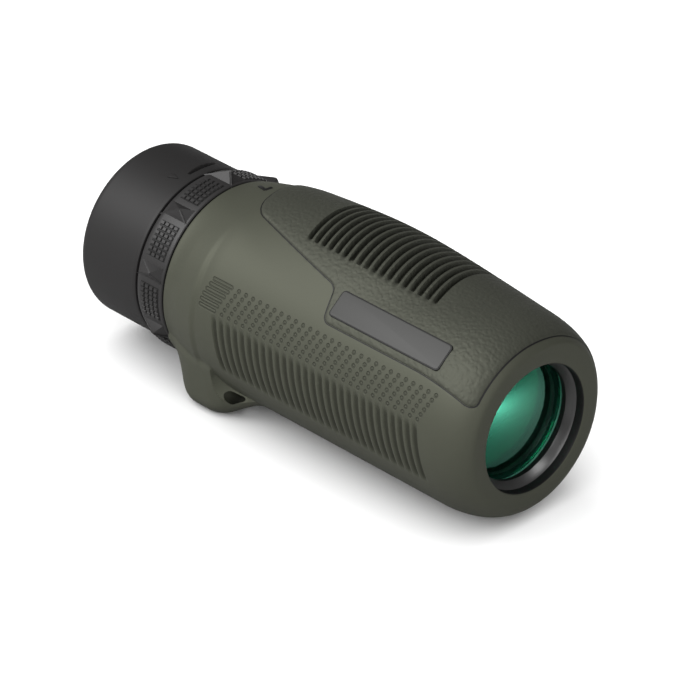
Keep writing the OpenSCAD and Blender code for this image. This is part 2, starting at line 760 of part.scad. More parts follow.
module objective_flint_lens() {
    cement_centre = crown_back + seat_gap + sag(cement_curve, lens_r) - cement_curve;
    rear_centre = flint_back - sag(flint_rear_curve, lens_r) + flint_rear_curve;
    color([0.10, 0.40, 0.28]) placed() difference() {
        rod(lens_r, crown_back + seat_gap, flint_back);
        translate([0, 0, cement_centre]) sphere(cement_curve, $fn = lens_fn);
        translate([0, 0, rear_centre]) sphere(flint_rear_curve, $fn = lens_fn);
    }
}

module objective_o_ring() {
    color([0.05, 0.05, 0.05]) placed()
        o_ring(cell_r - o_ring_r + seat_gap / 2, crown_back + 1.5 * o_ring_r);
}

module light_baffle() {
    tube_r = chamber_r - seat_gap;
    run = frame_front - chamber_front;
    color([0.06, 0.06, 0.06]) placed() {
        tube(tube_r, tube_r - baffle_wall, chamber_front + seat_gap, frame_front - seat_gap);
        for (i = [1 : baffle_count])
            let(share = i / (baffle_count + 1), s = chamber_front + run * share)
                tube(tube_r - baffle_wall / 2, objective_r + (frame_hole_r - objective_r) * share,
                    s, s + baffle_ring);
    }
}

module prism_frame() {
    slot_half = prism_half + prism_play;
    inside = frame_back - frame_front - 2 * frame_plate;
    color([0.10, 0.10, 0.11]) placed() difference() {
        rod(chamber_r - seat_gap, frame_front, frame_back);
        translate([-penta_drop - prism_play, -slot_half, frame_front + frame_plate])
            cube([reach, 2 * slot_half, inside]);
        translate([3 * screw_r, -reach / 2, frame_front + frame_plate]) cube([reach, reach, inside]);
        rod(frame_hole_r, frame_front - 1, frame_back + 1);
        for (turn = [90, 270])
            radial_rod(turn, screw_s, screw_r + seat_gap, slot_half + 2 * screw_r, housing_r);
    }
}

// Prism outline, [height, depth behind the entrance face], through the prism's width
module prism_block(points) {
    translate([0, 0, prism_s]) rotate([90, 0, 0])
        linear_extrude(height = 2 * prism_half, center = true) polygon(points);
}

module half_penta_prism() {
    tip = 2.47 * prism_half;
    color([0.75, 0.85, 0.90, 0.5]) placed() prism_block([
        [prism_half, 0],
        [-prism_half, 0],
        [-penta_drop, penta_depth],
        [prism_half - tip, tip]
    ]);
}

module roof_prism() {
    step = prism_gap * sqrt(2);
    exit = prism_depth;
    top = prism_half + step;
    centre_in = prism_half * (1 + tan(22.5)) / 2;
    ridge = 2 * (exit - prism_half) - 2 * centre_in + top - prism_half;
    foot = ridge / (1 + tan(22.5));
    color([0.75, 0.85, 0.90, 0.5]) placed() intersection() {
        prism_block([
            [top - exit, exit],
            [ridge + (exit - top) * tan(22.5), exit],
            [foot, top - foot]
        ]);
        translate([ridge, 0, prism_s + top]) rotate([0, 22.5, 0]) rotate([0, 0, -45])
            translate([-reach, -reach, -reach]) cube([reach, reach, 2 * reach]);
    }
}

module prism_screws() {
    color([0.65, 0.65, 0.67]) placed() for (turn = [90, 270]) {
        radial_rod(turn, screw_s, screw_r, prism_half + 2.4 * screw_r, housing_r - screw_sink / 2);
        radial_rod(turn, screw_s, 1.9 * screw_r, housing_r - screw_sink + seat_gap, housing_r - 0.15 * screw_r);
    }
}

module field_stop() {
    color([0.05, 0.05, 0.05]) placed() tube(eye_cell_r, frame_hole_r, stop_s + seat_gap, stop_s + stop_t);
}

module eyepiece_cell() {
    color([0.09, 0.09, 0.09]) placed() difference() {
        union() {
            rod(eye_cell_r, eye_cell_front, neck_end + eye_flange);
            rod(stub_r, neck_end + seat_gap, neck_end + eye_flange);
        }
        rod(lens_seat_r, eye_cell_front - 1, neck_end);
        rod(eye_lens_r + seat_gap, eye_cell_front + eye_seat, neck_end + eye_flange + 1);
        tube(eye_cell_r + 1, eye_cell_r - 2 * o_ring_r, eye_cell_front + eye_groove,
            eye_cell_front + eye_groove + 3 * o_ring_r);
    }
}

module eye_lens() {
    color([0.25, 0.20, 0.45]) placed()
        lens(eye_lens_r, eye_lens_front, eye_lens_back, eye_front_curve, eye_rear_curve);
}

module eyepiece_retaining_ring() {
    from = eye_lens_back + seat_gap + edge_rise(eye_rear_curve, eye_lens_r, lens_ring_r);
    color([0.07, 0.07, 0.07]) placed() tube(eye_lens_r, lens_ring_r, from, neck_end + eye_flange / 2);
}

module eyepiece_o_ring() {
    color([0.05, 0.05, 0.05]) placed()
        o_ring(eye_cell_r - o_ring_r + seat_gap / 2, eye_cell_front + eye_groove + 1.5 * o_ring_r);
}

module focus_circlip() {
    color([0.55, 0.55, 0.57]) placed() difference() {
        tube(circlip_r, neck_r - circlip_sink + seat_gap, circlip_front, circlip_front + circlip_w);
        translate([0, -circlip_slot / 2, circlip_front - 1]) cube([reach, circlip_slot, circlip_w + 2]);
    }
}

module focus_ring_core() {
    pin_turn = asin((pin_r + cam_gap) / neck_r);
    slope = focus_travel / focus_turn;
    color([0.13, 0.13, 0.14]) placed() difference() {
        tube(ring_core_r, core_bore_r, ring_front, ring_back - ring_gap / 3);
        for (turn = [90, 270])
            cam_groove(neck_r - 1, cam_floor_r, 2 * (pin_r + cam_gap), turn - focus_turn - pin_turn,
                focus_turn + 2 * pin_turn, focus_pin_s - focus_travel - slope * pin_turn,
                focus_travel + 2 * slope * pin_turn);
    }
}

// Raised pads of the grip, cut into squares
module knurled_pads(pitch, foot_r) {
    front = ring_front + pad_inset;
    difference() {
        for (i = [0 : pad_count - 1])
            rotate([0, 0, i * pitch - pad_rest - pad_turn / 2])
                rotate_extrude(angle = pad_turn) polygon([
                    [foot_r, front],
                    [ring_pad_r, front],
                    [ring_pad_r, front + pad_len],
                    [foot_r, front + pad_len]
                ]);
        for (k = [1 : knurl_columns - 1])
            translate([0, 0, front + pad_len * k / knurl_columns - knurl_cut / 2])
                tube(ring_pad_r + 1, foot_r + pad_h, 0, knurl_cut);
        for (i = [0 : pad_count - 1], k = [1 : knurl_rows - 1])
            rotate([0, 0, i * pitch - pad_rest + pad_turn * (k / knurl_rows - 0.5)])
                translate([foot_r + pad_h, -knurl_cut / 2, ring_front])
                    cube([grip_t, knurl_cut, ring_w]);
    }
}

// Four-sided stud of the grip, its peak at angle 0
module grip_stud(foot_r) {
    spread = (stud_r - foot_r) / stud_h;
    peak_s = ring_front + stud_inset + stud_peak;
    intersection() {
        rotate([90, 0, 0]) linear_extrude(height = 2 * stud_w, center = true) polygon([
            [foot_r, peak_s - spread * stud_peak],
            [stud_r, peak_s],
            [foot_r, peak_s + spread * (stud_len - stud_peak)]
        ]);
        translate([0, 0, ring_front]) linear_extrude(height = ring_w) polygon([
            [foot_r, -spread * stud_w / 2],
            [stud_r, 0],
            [foot_r, spread * stud_w / 2]
        ]);
    }
}

module focus_ring_grip() {
    pitch = 360 / pad_count;
    foot_r = ring_floor_r - grip_t / 5;
    color([0.12, 0.12, 0.12]) placed() {
        tube(ring_floor_r, ring_core_r + seat_gap, ring_front, ring_back);
        knurled_pads(pitch, foot_r - pad_h);
        for (i = [0 : pad_count - 1]) rotate([0, 0, (i + 0.5) * pitch - pad_rest]) grip_stud(foot_r);
    }
}

module focus_lens_cell() {
    color([0.09, 0.09, 0.09]) placed() difference() {
        rod(focus_cell_r, focus_cell_front, focus_cell_front + focus_cell_len);
        rod(lens_seat_r, focus_cell_front - 1, focus_cell_front + focus_cell_len + 1);
        rod(eye_lens_r + seat_gap, focus_cell_front + focus_seat, focus_cell_front + focus_cell_len + 1);
        for (turn = [90, 270])
            radial_rod(turn, focus_pin_s, pin_r + seat_gap, eye_lens_r + 0.3 * lens_wall, focus_cell_r + 1);
    }
}

module focus_lens() {
    color([0.20, 0.35, 0.40]) placed()
        lens(eye_lens_r, focus_lens_front, focus_lens_back, focus_front_curve, focus_rear_curve);
}

module focus_lens_retaining_ring() {
    from = focus_lens_back + seat_gap + edge_rise(focus_rear_curve, eye_lens_r, lens_ring_r);
    color([0.07, 0.07, 0.07]) placed()
        tube(eye_lens_r, lens_ring_r, from, focus_cell_front + focus_cell_len - seat_lip / 2);
}

module focus_pins() {
    color([0.70, 0.70, 0.72]) placed() for (turn = [90, 270])
        radial_rod(turn, focus_pin_s, pin_r, eye_lens_r + 0.3 * lens_wall + seat_gap, cam_floor_r - cam_gap);
}

module eyecup_friction_ring() {
    color([0.85, 0.85, 0.80]) placed()
        tube(sleeve_bore_r + friction_t, sleeve_bore_r, friction_front, friction_front + friction_w);
}

module eyecup_rubber() {
    rim = [for (i = [0 : corner_steps]) let(k = 90 * i / corner_steps)
        [eyecup_r - eyecup_rim + eyecup_rim * cos(k), overall_len - eyecup_rim + eyecup_rim * sin(k)]];
    color([0.16, 0.155, 0.155]) placed() turned(concat(
        [[eyecup_r, eyecup_front]],
        rim,
        [
            [eye_opening_r + eyecup_rim / 2.4, overall_len],
            [eye_opening_r, overall_len - eyecup_rim / 3],
            [eye_opening_r, sleeve_back + seat_gap],
            [sleeve_r + seat_gap, sleeve_back + seat_gap],
            [sleeve_r + seat_gap, sleeve_front],
            [circlip_r + ring_gap, sleeve_front],
            [circlip_r + ring_gap, eyecup_front]
        ]));
}

module eyecup_sleeve() {
    color([0.10, 0.10, 0.10]) placed() difference() {
        tube(sleeve_r, sleeve_bore_r, sleeve_front, sleeve_back);
        tube(sleeve_bore_r + friction_t + running_gap, 1, friction_front - running_gap,
            friction_front + friction_w + running_gap);
        for (turn = [0, 180])
            radial_rod(turn, guide_s, guide_r + seat_gap, stub_r, sleeve_r + 1);
    }
}

module eyecup_guide_pins() {
    color([0.70, 0.70, 0.72]) placed() for (turn = [0, 180])
        radial_rod(turn, guide_s, guide_r, guide_floor_r + cam_gap, sleeve_r - guide_r / 9);
}

rubber_armour();
top_panel();
badge_plate();
main_housing();
objective_cell();
objective_crown_lens();
objective_flint_lens();
objective_retaining_ring();
objective_o_ring();
light_baffle();
prism_frame();
roof_prism();
half_penta_prism();
prism_screws();
field_stop();
eyepiece_cell();
eye_lens();
eyepiece_retaining_ring();
eyepiece_o_ring();
focus_circlip();
focus_ring_core();
focus_ring_grip();
focus_lens_cell();
focus_lens();
focus_lens_retaining_ring();
focus_pins();
eyecup_friction_ring();
eyecup_rubber();
eyecup_sleeve();
eyecup_guide_pins();
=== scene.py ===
"""Looks of a compact rubber-armoured monocular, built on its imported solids.

Forms are worked in millimetres in a working frame: u is the height above the barrel's axis, v the width
with the badge on its negative side, and s the distance behind the front rim. The row frame is in metres.
"""

import json
import math

import bmesh
import bpy
import numpy as np
from mathutils import Matrix, Vector


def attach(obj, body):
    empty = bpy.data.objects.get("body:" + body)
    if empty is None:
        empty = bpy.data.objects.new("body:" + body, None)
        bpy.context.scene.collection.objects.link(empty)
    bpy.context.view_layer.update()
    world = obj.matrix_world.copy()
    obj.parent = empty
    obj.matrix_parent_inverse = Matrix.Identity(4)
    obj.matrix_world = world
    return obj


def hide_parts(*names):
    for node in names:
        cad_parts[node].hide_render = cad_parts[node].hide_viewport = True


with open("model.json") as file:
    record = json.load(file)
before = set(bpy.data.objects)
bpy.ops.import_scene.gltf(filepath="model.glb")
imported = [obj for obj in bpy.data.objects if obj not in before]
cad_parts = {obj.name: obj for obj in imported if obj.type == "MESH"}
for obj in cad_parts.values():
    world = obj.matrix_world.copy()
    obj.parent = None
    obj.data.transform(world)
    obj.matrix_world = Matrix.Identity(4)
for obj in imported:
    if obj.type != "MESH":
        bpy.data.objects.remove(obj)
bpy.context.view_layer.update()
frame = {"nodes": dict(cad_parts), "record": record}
nodes = frame["nodes"]

MM = 0.001
ROLL = math.radians(41.32)
WORK_TO_ROW = Matrix((
    (0, 0, -MM, 0),
    (MM * math.sin(ROLL), MM * math.cos(ROLL), 0, 0),
    (MM * math.cos(ROLL), -MM * math.sin(ROLL), 0, 0),
    (0, 0, 0, 1),
))
ARMOUR_COLUMNS, RING_COLUMNS, LENS_COLUMNS = 320, 240, 160

# Armour, from the rounded nose to the rear edge
ARMOUR_LEN, BARREL_R, REAR_R, REAR_ROUND = 86.3, 21.3, 19.4, 0.5
FACE_R, NOSE_LEN, SHOULDER_S = 16.6, 11.0, 72.0
OPENING_R, MOUTH_BAND, FRONT_WALL = 13.65, 0.07, 2.0
MOUTH_RIM = ((0.0, 0.4), (0.12, 0.12), (0.4, 0.0), (1.6, 0.0))
NOSE_CAVITY_R, CAVITY_STEP, HOUSING_R = 16.55, 7.0, 18.95
REAR_BORE_R, REAR_BORE_FRONT = 17.25, 76.1
NOSE_ROWS = [13.9 * (i / 14) ** 2 for i in range(15)]
REAR_ROWS = [*np.linspace(73.2, 79.8, 34), *np.linspace(80.2, 85.6, 12), 85.9, 86.1, 86.22, 86.29]
KEEL_EVEN = np.radians([0, 48, 84, 112, 180])
KEEL_DRAWN = np.radians([0, 84, 128, 160, 180])
# Low collar round the underside, behind the crease
CREASE_S, COLLAR_RISE, COLLAR_END_S, COLLAR_FALL = 74.8, 1.5, 85.6, 5.0
COLLAR_PROUD, COLLAR_TURN, COLLAR_TURN_FADE = 0.5, 2.0, 0.6
# Crown that stands over the barrel
LIFT, CREST_R, CREST_S, CREST_ROUND = 3.2, 24.2, 49.0, 14.0
CROWN_SLOPE, CROWN_NOSE, CROWN_DROP, CROWN_FILLET = 0.1, 0.55, 1.9, 0.4
# Lug, its thin fin and its hole
LUG_REACH, LUG_TIP_R, LUG_ROOT_R, LUG_FILLET = 27.2, 3.5, 20.0, 1.2
LUG_HEEL_S, LUG_HEEL_ROUND, LUG_REAR_SLOPE = 80.8, 3.2, 7.2 / 5.5
LUG_TOE_S, LUG_TOE_ROUND, LUG_FRONT_SLOPE = 71.8, 1.8, 7.2 / 10.4
FIN_HALF, FIN_S, FIN_ROUND, SCOOP_R, STEEPEST_TURN = 1.3, 65.0, 1.4, 7.2, 1.4
LANYARD_S, LANYARD_DEPTH, LANYARD_R = 68.8, 22.95, 1.25
LANYARD_TOE_S, LANYARD_TOE_DEPTH, LANYARD_TOE_R = 66.5, 22.1, 0.5
DRILL_HALF, DRILL_SIDES = 10, 32
# Lean of the rings, which runs in behind the nose and out before the rear edge
RIB_LEAN = math.radians(14)
LEAN = math.tan(RIB_LEAN)
LEAN_START, LEAN_RUN_IN, LEAN_STOP, LEAN_RUN_OUT, LEAN_PASSES = 1.5, 12.5, 74.0, 12.3, 6
# Side ribs, and painted shade on the floors of the grooves between them
RIB_FIRST, RIB_PITCH, RIB_COUNT = 15.165, 2.03, 29
RIB_DEPTH, RIB_FLAT, RIB_LINE_FLAT, RIB_EDGE = 0.6, 0.25, 0.2, 0.8
RIB_OFFSETS = (-1.015, -0.75, -0.5, -0.25, 0.25, 0.5, 0.75)
RIB_TOP, RIB_TOP_FADED, RIB_FOOT, RIB_FOOT_FADE = -11.7, -9.7, -18.7, 0.4
# Dots and slots above the ribs, with painted shade in their dents, less on their raised cores
DOT_FIRST = math.radians(99.5) * BARREL_R
DOT_ROW, DOT_ROWS, DOT_SHIFT = 1.21, 6, 0.51
DOT_S, DOT_PITCH, DOT_COUNT = 64.78, 2.05, 28
SLOT_MIDDLE, SLOT_HALF, SLOT_END_S = 4.63, 2.5, 73.7
DENT_FLOOR, DENT_EDGE, DENT_DEPTH = 0.36, 0.56, 0.18
CORE_TOP, CORE_EDGE, CORE_HEIGHT, CORE_SHADE_SPARED = 0.06, 0.28, 0.12, 0.7
# Panel
PANEL_FRONT, PANEL_PROUD, PANEL_DEPTH = 1.3, 0.3, 1.15
PANEL_ARC_S, PANEL_ARC_R = 29.4, 48.0
PANEL_LOW, PANEL_CORNER, PANEL_FRONT_CORNER = 1.0, 1.4, 2.0
PANEL_STEP_S, PANEL_STEP_U = 42.1, 6.39
PANEL_TAIL_S, PANEL_TAIL_U = 75.1, 13.2
PANEL_STEP_TOP_S = PANEL_STEP_S + (PANEL_LOW + PANEL_STEP_U) * LEAN
PANEL_RISE = (PANEL_TAIL_U - PANEL_STEP_U) / (PANEL_TAIL_S - PANEL_STEP_TOP_S)
PANEL_ROUND, PANEL_EDGE_DROP, PANEL_SKIRT = 0.6, 0.4, 0.955
PANEL_ROUND_ROWS = (0.0, 0.1, 0.28, PANEL_ROUND)
PANEL_COLUMNS, PANEL_LEAST_TURN = 83, 0.01
PANEL_SWEEP = np.radians(np.linspace(0, 100, 1001))
PANEL_BED_INSET, PANEL_BED_FADE = 0.4, 0.5
LONG_RIM, LONG_RIM_CUTS, LONG_RIM_SUNK = 1.5, 8, 0.1
# Width and lift of the black strip laid as painted shade in the panel's joint
SEAM_W, SEAM_PROUD, SLOPE_STEP = 0.22, 0.03, 0.02
# Grooves across the panel, with painted shade on their floors
GROOVE_FIRST, GROOVE_PITCH, GROOVE_COUNT = 19.91, 2.0, 18
GROOVE_DEPTH, GROOVE_FLAT, GROOVE_EDGE = 1.15, 0.3, 0.66
GROOVE_OFFSETS = (-1.0, -0.72, -0.52, -0.3, 0, 0.3, 0.52, 0.72)
GROOVE_END, GROOVE_END_LEAD, GROOVE_END_FADE = 12.4, 0.3, 1.1
GROOVE_LINE_END, GROOVE_LINE_FULL = 12.2, 13.2
# Badge plate and the dark bed under it
PLATE_S, PLATE_TURN, PLATE_LEN, PLATE_W = 26.4, 80.5, 29.8, 5.5
PLATE_T, PLATE_FLOOR, PLATE_CORNER, PLATE_EASE = 0.7, 21.15, 0.7, 0.1
BED_GROW, BED_SUNK, BED_CORNER = 0.25, 0.1, 0.9
# Chevron in front of the focus ring, as stations and turns in degrees
CHEVRON_POINT, CHEVRON_ARMS = (78.69, 34.75), ((81.48, 31.38), (78.48, 30.68))
CHEVRON_OVERLAP, CHEVRON_W, CHEVRON_T, CHEVRON_EASE = 0.4, 0.9, 0.24, 0.07
# Focus ring, its pads and its studs
RING_FRONT, RING_BACK, RING_CORE_R, RING_R, RING_ROUND = 86.6, 94.7, 17.45, 19.4, 0.35
RING_REAR = ((0.0, 93.0), (0.12, 93.6), (0.3, 94.05), (0.55, 94.4), (0.8, 94.6))
PAD_COUNT, PAD_TURN, PAD_REST = 9, 23.0, 94.6
PAD_FRONT, PAD_LEN, PAD_H, PAD_CLEAR = 87.6, 5.2, 0.3, 0.02
KNURLS_ALONG, KNURLS_ROUND, KNURL_GROOVE, KNURL_SLOPE = 4, 7, 0.14, 0.1
STUD_FRONT, STUD_LEN, STUD_W, STUD_PEAK = 87.3, 5.9, 3.0, 2.0
STUD_H, STUD_SUNK, STUD_TIP, STUD_EASE = 1.6, 0.35, 0.06, 0.22
# Eyecup, its slit and its arrow
EYECUP_FRONT, EYECUP_BACK, EYECUP_R, EYECUP_RIM = 95.0, 112.6, 18.9, 2.4
EYECUP_NOSE = ((18.55, 0.0), (18.8, 0.12), (EYECUP_R, 0.4))
EYECUP_WAIST_S, EYE_OPENING_R, EYE_ROUND, EYE_SHELF_S = 104.0, 13.0, 1.0, 109.0
SLEEVE_R, SLEEVE_FRONT, EYECUP_BORE_R = 16.05, 96.4, 17.2
SLIT_ROWS = np.linspace(96.0, 99.8, 27)
SLIT_TURN, SLIT_HALF_TURN, SLIT_S, SLIT_LEAN = 33.0, 13.5, 97.8, 0.0455
SLIT_HALF, SLIT_DEPTH, SLIT_INSET, SLIT_FADE, SLIT_LEAST = 0.55, 0.7, 0.2, 0.3, 0.05
ARROW_CORNERS = ((100.1, 56.8), (97.7, 53.9), (99.8, 51.9))
ARROW_SUNK, ARROW_LIFT, ARROW_EASE = 0.12, 0.4, 0.1
# Front lenses and the ring that holds them
LENS_R, LENS_SEAT, CROWN_EDGE, FLINT_EDGE = 12.93, 5.27, 1.98, 3.55
FRONT_CURVE, CEMENT_CURVE, BACK_CURVE, CEMENT_GAP = 62.0, 45.0, 160.0, 0.06
GROUND_OUTER, GROUND_INNER, GROUND_INSET = 0.03, 0.08, 0.1
OBJECTIVE_R = 12.42
BEVEL_PROFILE = ((13.12, 5.1), (13.12, 2.5), (13.15, 2.43), (13.62, 2.4), (13.62, 2.0), (13.18, 2.38),
                 (OBJECTIVE_R, 3.76), (OBJECTIVE_R + 0.3, 3.95))
STEP_PROFILE = ((13.1, 5.05), (OBJECTIVE_R + 0.25, 3.9), (OBJECTIVE_R, 3.86), (OBJECTIVE_R, 4.7),
                (12.7, 5.05))
# Camera, with its place in millimetres along its own axes
CAMERA_BACK = Vector((0.615570, -0.598410, 0.512820))
CAMERA_RIGHT = Vector((0.697040, 0.717030, 0.0))
CAMERA_FAR, CAMERA_ASIDE, CAMERA_RAISED = 959.0, -36.032, 15.406
CAMERA_LENS, CAMERA_SENSOR = 254.0, 36.0
# Colours
ARMOUR_GREEN = (0.047, 0.049, 0.037)
PANEL_GREEN = (0.037, 0.0385, 0.031)
RUBBER_SHEEN = (0.97, 1.0, 0.80, 1.0)
GREEN_COAT = (0.02, 1.0, 0.60)
FLOOR_SEEN, FLOOR_BOUNCE = (0.92, 0.92, 0.92, 1), (0.36, 0.36, 0.36, 1)
WORLD_SEEN, WORLD_GLOW = (1, 1, 1, 1), (0.11, 0.11, 0.11, 1)


def smooth_step(x):
    c = np.clip(x, 0, 1)
    return c * c * (3 - 2 * c)


def soft_max(a, b, k):
    """The greater of two values, with a fillet where they come within k of each other."""
    return np.maximum(a, b) + np.maximum(k - np.abs(a - b), 0) ** 2 / (4 * k)


def soft_min(a, b, k):
    return -soft_max(-a, -b, k)


def round_min(a, b, r):
    """The lesser of two distances inside edges, with the corner between them rounded."""
    least = np.minimum(a, b)
    return np.where(least >= r, least, r - np.hypot(np.maximum(r - a, 0), np.maximum(r - b, 0)))


def nose_fall(s):
    share = 1 - np.clip(s, 0, NOSE_LEN) / NOSE_LEN
    return (BARREL_R - FACE_R) * (1 - np.sqrt(np.maximum(0, 1 - share**2)))


def barrel_at(s):
    rear = smooth_step((s - SHOULDER_S) / (ARMOUR_LEN - SHOULDER_S))
    return BARREL_R - nose_fall(s) - (BARREL_R - REAR_R) * rear


def bulge_at(s):
    crown = CREST_R - CROWN_SLOPE * (np.sqrt((s - CREST_S) ** 2 + CREST_ROUND**2) - CREST_ROUND)
    rear = CROWN_DROP * (np.maximum(0, s - SHOULDER_S) / (ARMOUR_LEN - SHOULDER_S)) ** 1.5
    return crown - LIFT - CROWN_NOSE * nose_fall(s) - rear


def lug_reach_at(s):
    rear = LUG_REACH + (LUG_HEEL_S - s) * LUG_REAR_SLOPE
    front = LUG_REACH + (s - LUG_TOE_S) * LUG_FRONT_SLOPE
    return soft_min(soft_min(LUG_REACH + 0 * s, rear, LUG_HEEL_ROUND), front, LUG_TOE_ROUND)


def lug_radius(s, turn):
    """Reach of the lug's skin, turned from straight down: a thin fin that a scoop widens to flanks."""
    past = np.clip(s - FIN_S, 0, SCOOP_R)
    half = FIN_HALF + SCOOP_R - np.sqrt(np.maximum(0, SCOOP_R**2 - past**2))
    tip_r = np.minimum(LUG_TIP_R, half)
    tip = lug_reach_at(s) - tip_r
    spread = np.arccos(np.clip((LUG_ROOT_R - tip_r) / np.maximum(tip, 1), -1, 1))
    bend = np.arctan2(tip_r * np.sin(spread), tip + tip_r * np.cos(spread))
    near = np.minimum(turn, bend)
    round_tip = tip * np.cos(near) + np.sqrt(np.maximum(0, tip_r**2 - (tip * np.sin(near)) ** 2))
    flank = LUG_ROOT_R / np.cos(np.clip(spread - turn, 0, STEEPEST_TURN))
    side = half / np.sin(np.clip(turn, 1e-3, math.pi / 2))
    reach = soft_min(np.where(turn < bend, round_tip, flank), side, FIN_ROUND)
    return np.where(turn < math.pi / 2, reach, 0)


def body_radius(s, angle):
    """Radius of the armour's plain skin; the angle runs from the top."""
    lifted = LIFT * np.cos(angle) + np.sqrt(np.maximum(0, bulge_at(s) ** 2 - (LIFT * np.sin(angle)) ** 2))
    plain = soft_max(barrel_at(s), lifted, CROWN_FILLET)
    down = math.pi - np.abs(angle)
    collar = smooth_step((s - CREASE_S) / COLLAR_RISE) * smooth_step((COLLAR_END_S - s) / COLLAR_FALL)
    collar = collar * smooth_step((COLLAR_TURN - down) / COLLAR_TURN_FADE)
    return soft_max(plain + COLLAR_PROUD * collar, lug_radius(s, down), LUG_FILLET)


def lean_at(t):
    run_in = smooth_step((t - LEAN_START) / LEAN_RUN_IN)
    return LEAN * run_in * (1 - smooth_step((t - LEAN_STOP) / LEAN_RUN_OUT))


def leaning_skin(t, angle, radius=body_radius):
    """Station and radius of the skin point on leaning ring t."""
    s = t + 0 * angle
    r = radius(s, angle)
    for _ in range(LEAN_PASSES):
        s = t + lean_at(t) * r * np.cos(angle)
        r = radius(s, angle)
    return s, r


def inside_panel(s, u, v):
    """Distance inside the panel's outline, about true near it and negative outside."""
    step = (PANEL_STEP_S + (u + PANEL_LOW) * LEAN - s) * math.cos(RIB_LEAN)
    round_plate = round_min(u + PANEL_LOW, step, PANEL_CORNER)
    flank = (u - PANEL_STEP_U - (s - PANEL_STEP_TOP_S) * PANEL_RISE) * math.cos(math.atan(PANEL_RISE))
    whole = -round_min(-round_plate, -flank, PANEL_CORNER)
    whole = round_min(whole, s - PANEL_FRONT, PANEL_FRONT_CORNER)
    arc = PANEL_ARC_S + np.sqrt(np.maximum(1, PANEL_ARC_R**2 - v**2)) - s
    return round_min(whole, arc, 2 * PANEL_CORNER)


def groove_profile(t, first, pitch, count, flat, edge):
    """One across each groove's floor and zero on the ridges between."""
    j = np.clip(np.round((t - first) / pitch), 0, count - 1)
    off = np.abs(t - first - j * pitch)
    return 1 - smooth_step((off - flat) / (edge - flat))


def groove_stations(first, pitch, count, offsets):
    return [first + j * pitch + o for j in range(count) for o in offsets]


def turned_blank(profile, columns, closed=True):
    """A profile of (radius, station) points turned round the barrel's axis."""
    bm = bmesh.new()
    ring = [bm.verts.new((r, 0, s)) for r, s in profile]
    ends = ring[1:] + ring[:1] if closed else ring[1:]
    rim = [bm.edges.new((a, b)) for a, b in zip(ring, ends)]
    bmesh.ops.spin(bm, geom=ring + rim, cent=(0, 0, 0), axis=(0, 0, 1), dvec=(0, 0, 0),
                   angle=2 * math.pi, steps=columns, use_merge=True, use_duplicate=False)
    bmesh.ops.remove_doubles(bm, verts=bm.verts, dist=1e-5)
    bmesh.ops.recalc_face_normals(bm, faces=bm.faces)
    return bm


def points_of(bm):
    return np.array([vert.co for vert in bm.verts])


def set_points(bm, points):
    for vert, point in zip(bm.verts, points):
        vert.co = point


def round_point(s, angle, r):
    return r * np.cos(angle), r * np.sin(angle), s


def verts_in(geom):
    return [part for part in geom if isinstance(part, bmesh.types.BMVert)]


def rim_of(bm):
    return [edge for edge in bm.edges if edge.is_boundary]


def ease(bm, edges, width, segments):
    return bmesh.ops.bevel(bm, geom=edges, offset=width, segments=segments, profile=0.5, affect="EDGES",
                           material=-1)


def face_outward(bm, faces):
    """Faces turned to look away from the barrel's axis."""
    bmesh.ops.recalc_face_normals(bm, faces=faces)
    if sum(face.normal.dot(Vector((*face.calc_center_median().xy, 0))) for face in faces) < 0:
        bmesh.ops.reverse_faces(bm, faces=faces)


def mesh_object(bm, name, material):
    mesh = bpy.data.meshes.new(name)
    bm.to_mesh(mesh)
    bm.free()
    mesh.materials.append(material)
    made = bpy.data.objects.new(name, mesh)
    bpy.context.scene.collection.objects.link(made)
    return made


def made_piece(bm, name, body, material, stands_for=(), sharp=35):
    """The worked form as a named piece in the row frame, riding on its body."""
    bm.transform(WORK_TO_ROW)
    piece = mesh_object(bm, name, material)
    piece.data.shade_smooth()
    piece.data.set_sharp_from_angle(angle=math.radians(sharp))
    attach(piece, body)
    if stands_for:
        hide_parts(*stands_for)
    return piece


class Wiring:
    """Nodes of one material or group, placed and linked by short calls."""

    def __init__(self, tree):
        self.tree = tree

    def add(self, kind, ins=(), **settings):
        node = self.tree.nodes.new(kind)
        for key, value in settings.items():
            setattr(node, key, value)
        self.fill(node, dict(ins))
        return node

    def fill(self, node, values):
        for key, value in values.items():
            self.put(node.inputs[key], value)

    def put(self, socket, value):
        if isinstance(value, bpy.types.NodeSocket):
            self.tree.links.new(value, socket)
        else:
            socket.default_value = value

    def maths(self, operation, a, b=0.0, c=0.0):
        return self.add("ShaderNodeMath", {0: a, 1: b, 2: c}, operation=operation).outputs[0]

    def product(self, *factors):
        total = factors[0]
        for factor in factors[1:]:
            total = self.maths("MULTIPLY", total, factor)
        return total

    def far(self, a, b):
        return self.maths("SQRT", self.maths("ADD", self.product(a, a), self.product(b, b)))

    def ramp(self, value, low, high, out_low=0.0, out_high=1.0):
        ins = {"Value": value, "From Min": low, "From Max": high, "To Min": out_low, "To Max": out_high}
        return self.add("ShaderNodeMapRange", ins, interpolation_type="SMOOTHSTEP").outputs["Result"]

    def blend(self, share, a, b):
        node = self.add("ShaderNodeMix", {"Factor": share}, data_type="RGBA")
        self.fill(node, {6: a, 7: b})
        return node.outputs[2]

    def scaled(self, colour, factor):
        return self.add("ShaderNodeVectorMath", {0: colour, 3: factor}, operation="SCALE").outputs[0]


def shader_group(name, inputs, outputs):
    tree = bpy.data.node_groups.new(name, "ShaderNodeTree")
    for title, kind, default in inputs:
        socket = tree.interface.new_socket(title, in_out="INPUT", socket_type=kind)
        socket.default_value = default
    for title, kind in outputs:
        tree.interface.new_socket(title, in_out="OUTPUT", socket_type=kind)
    wires = Wiring(tree)
    return tree, wires, wires.add("NodeGroupInput").outputs, wires.add("NodeGroupOutput").inputs


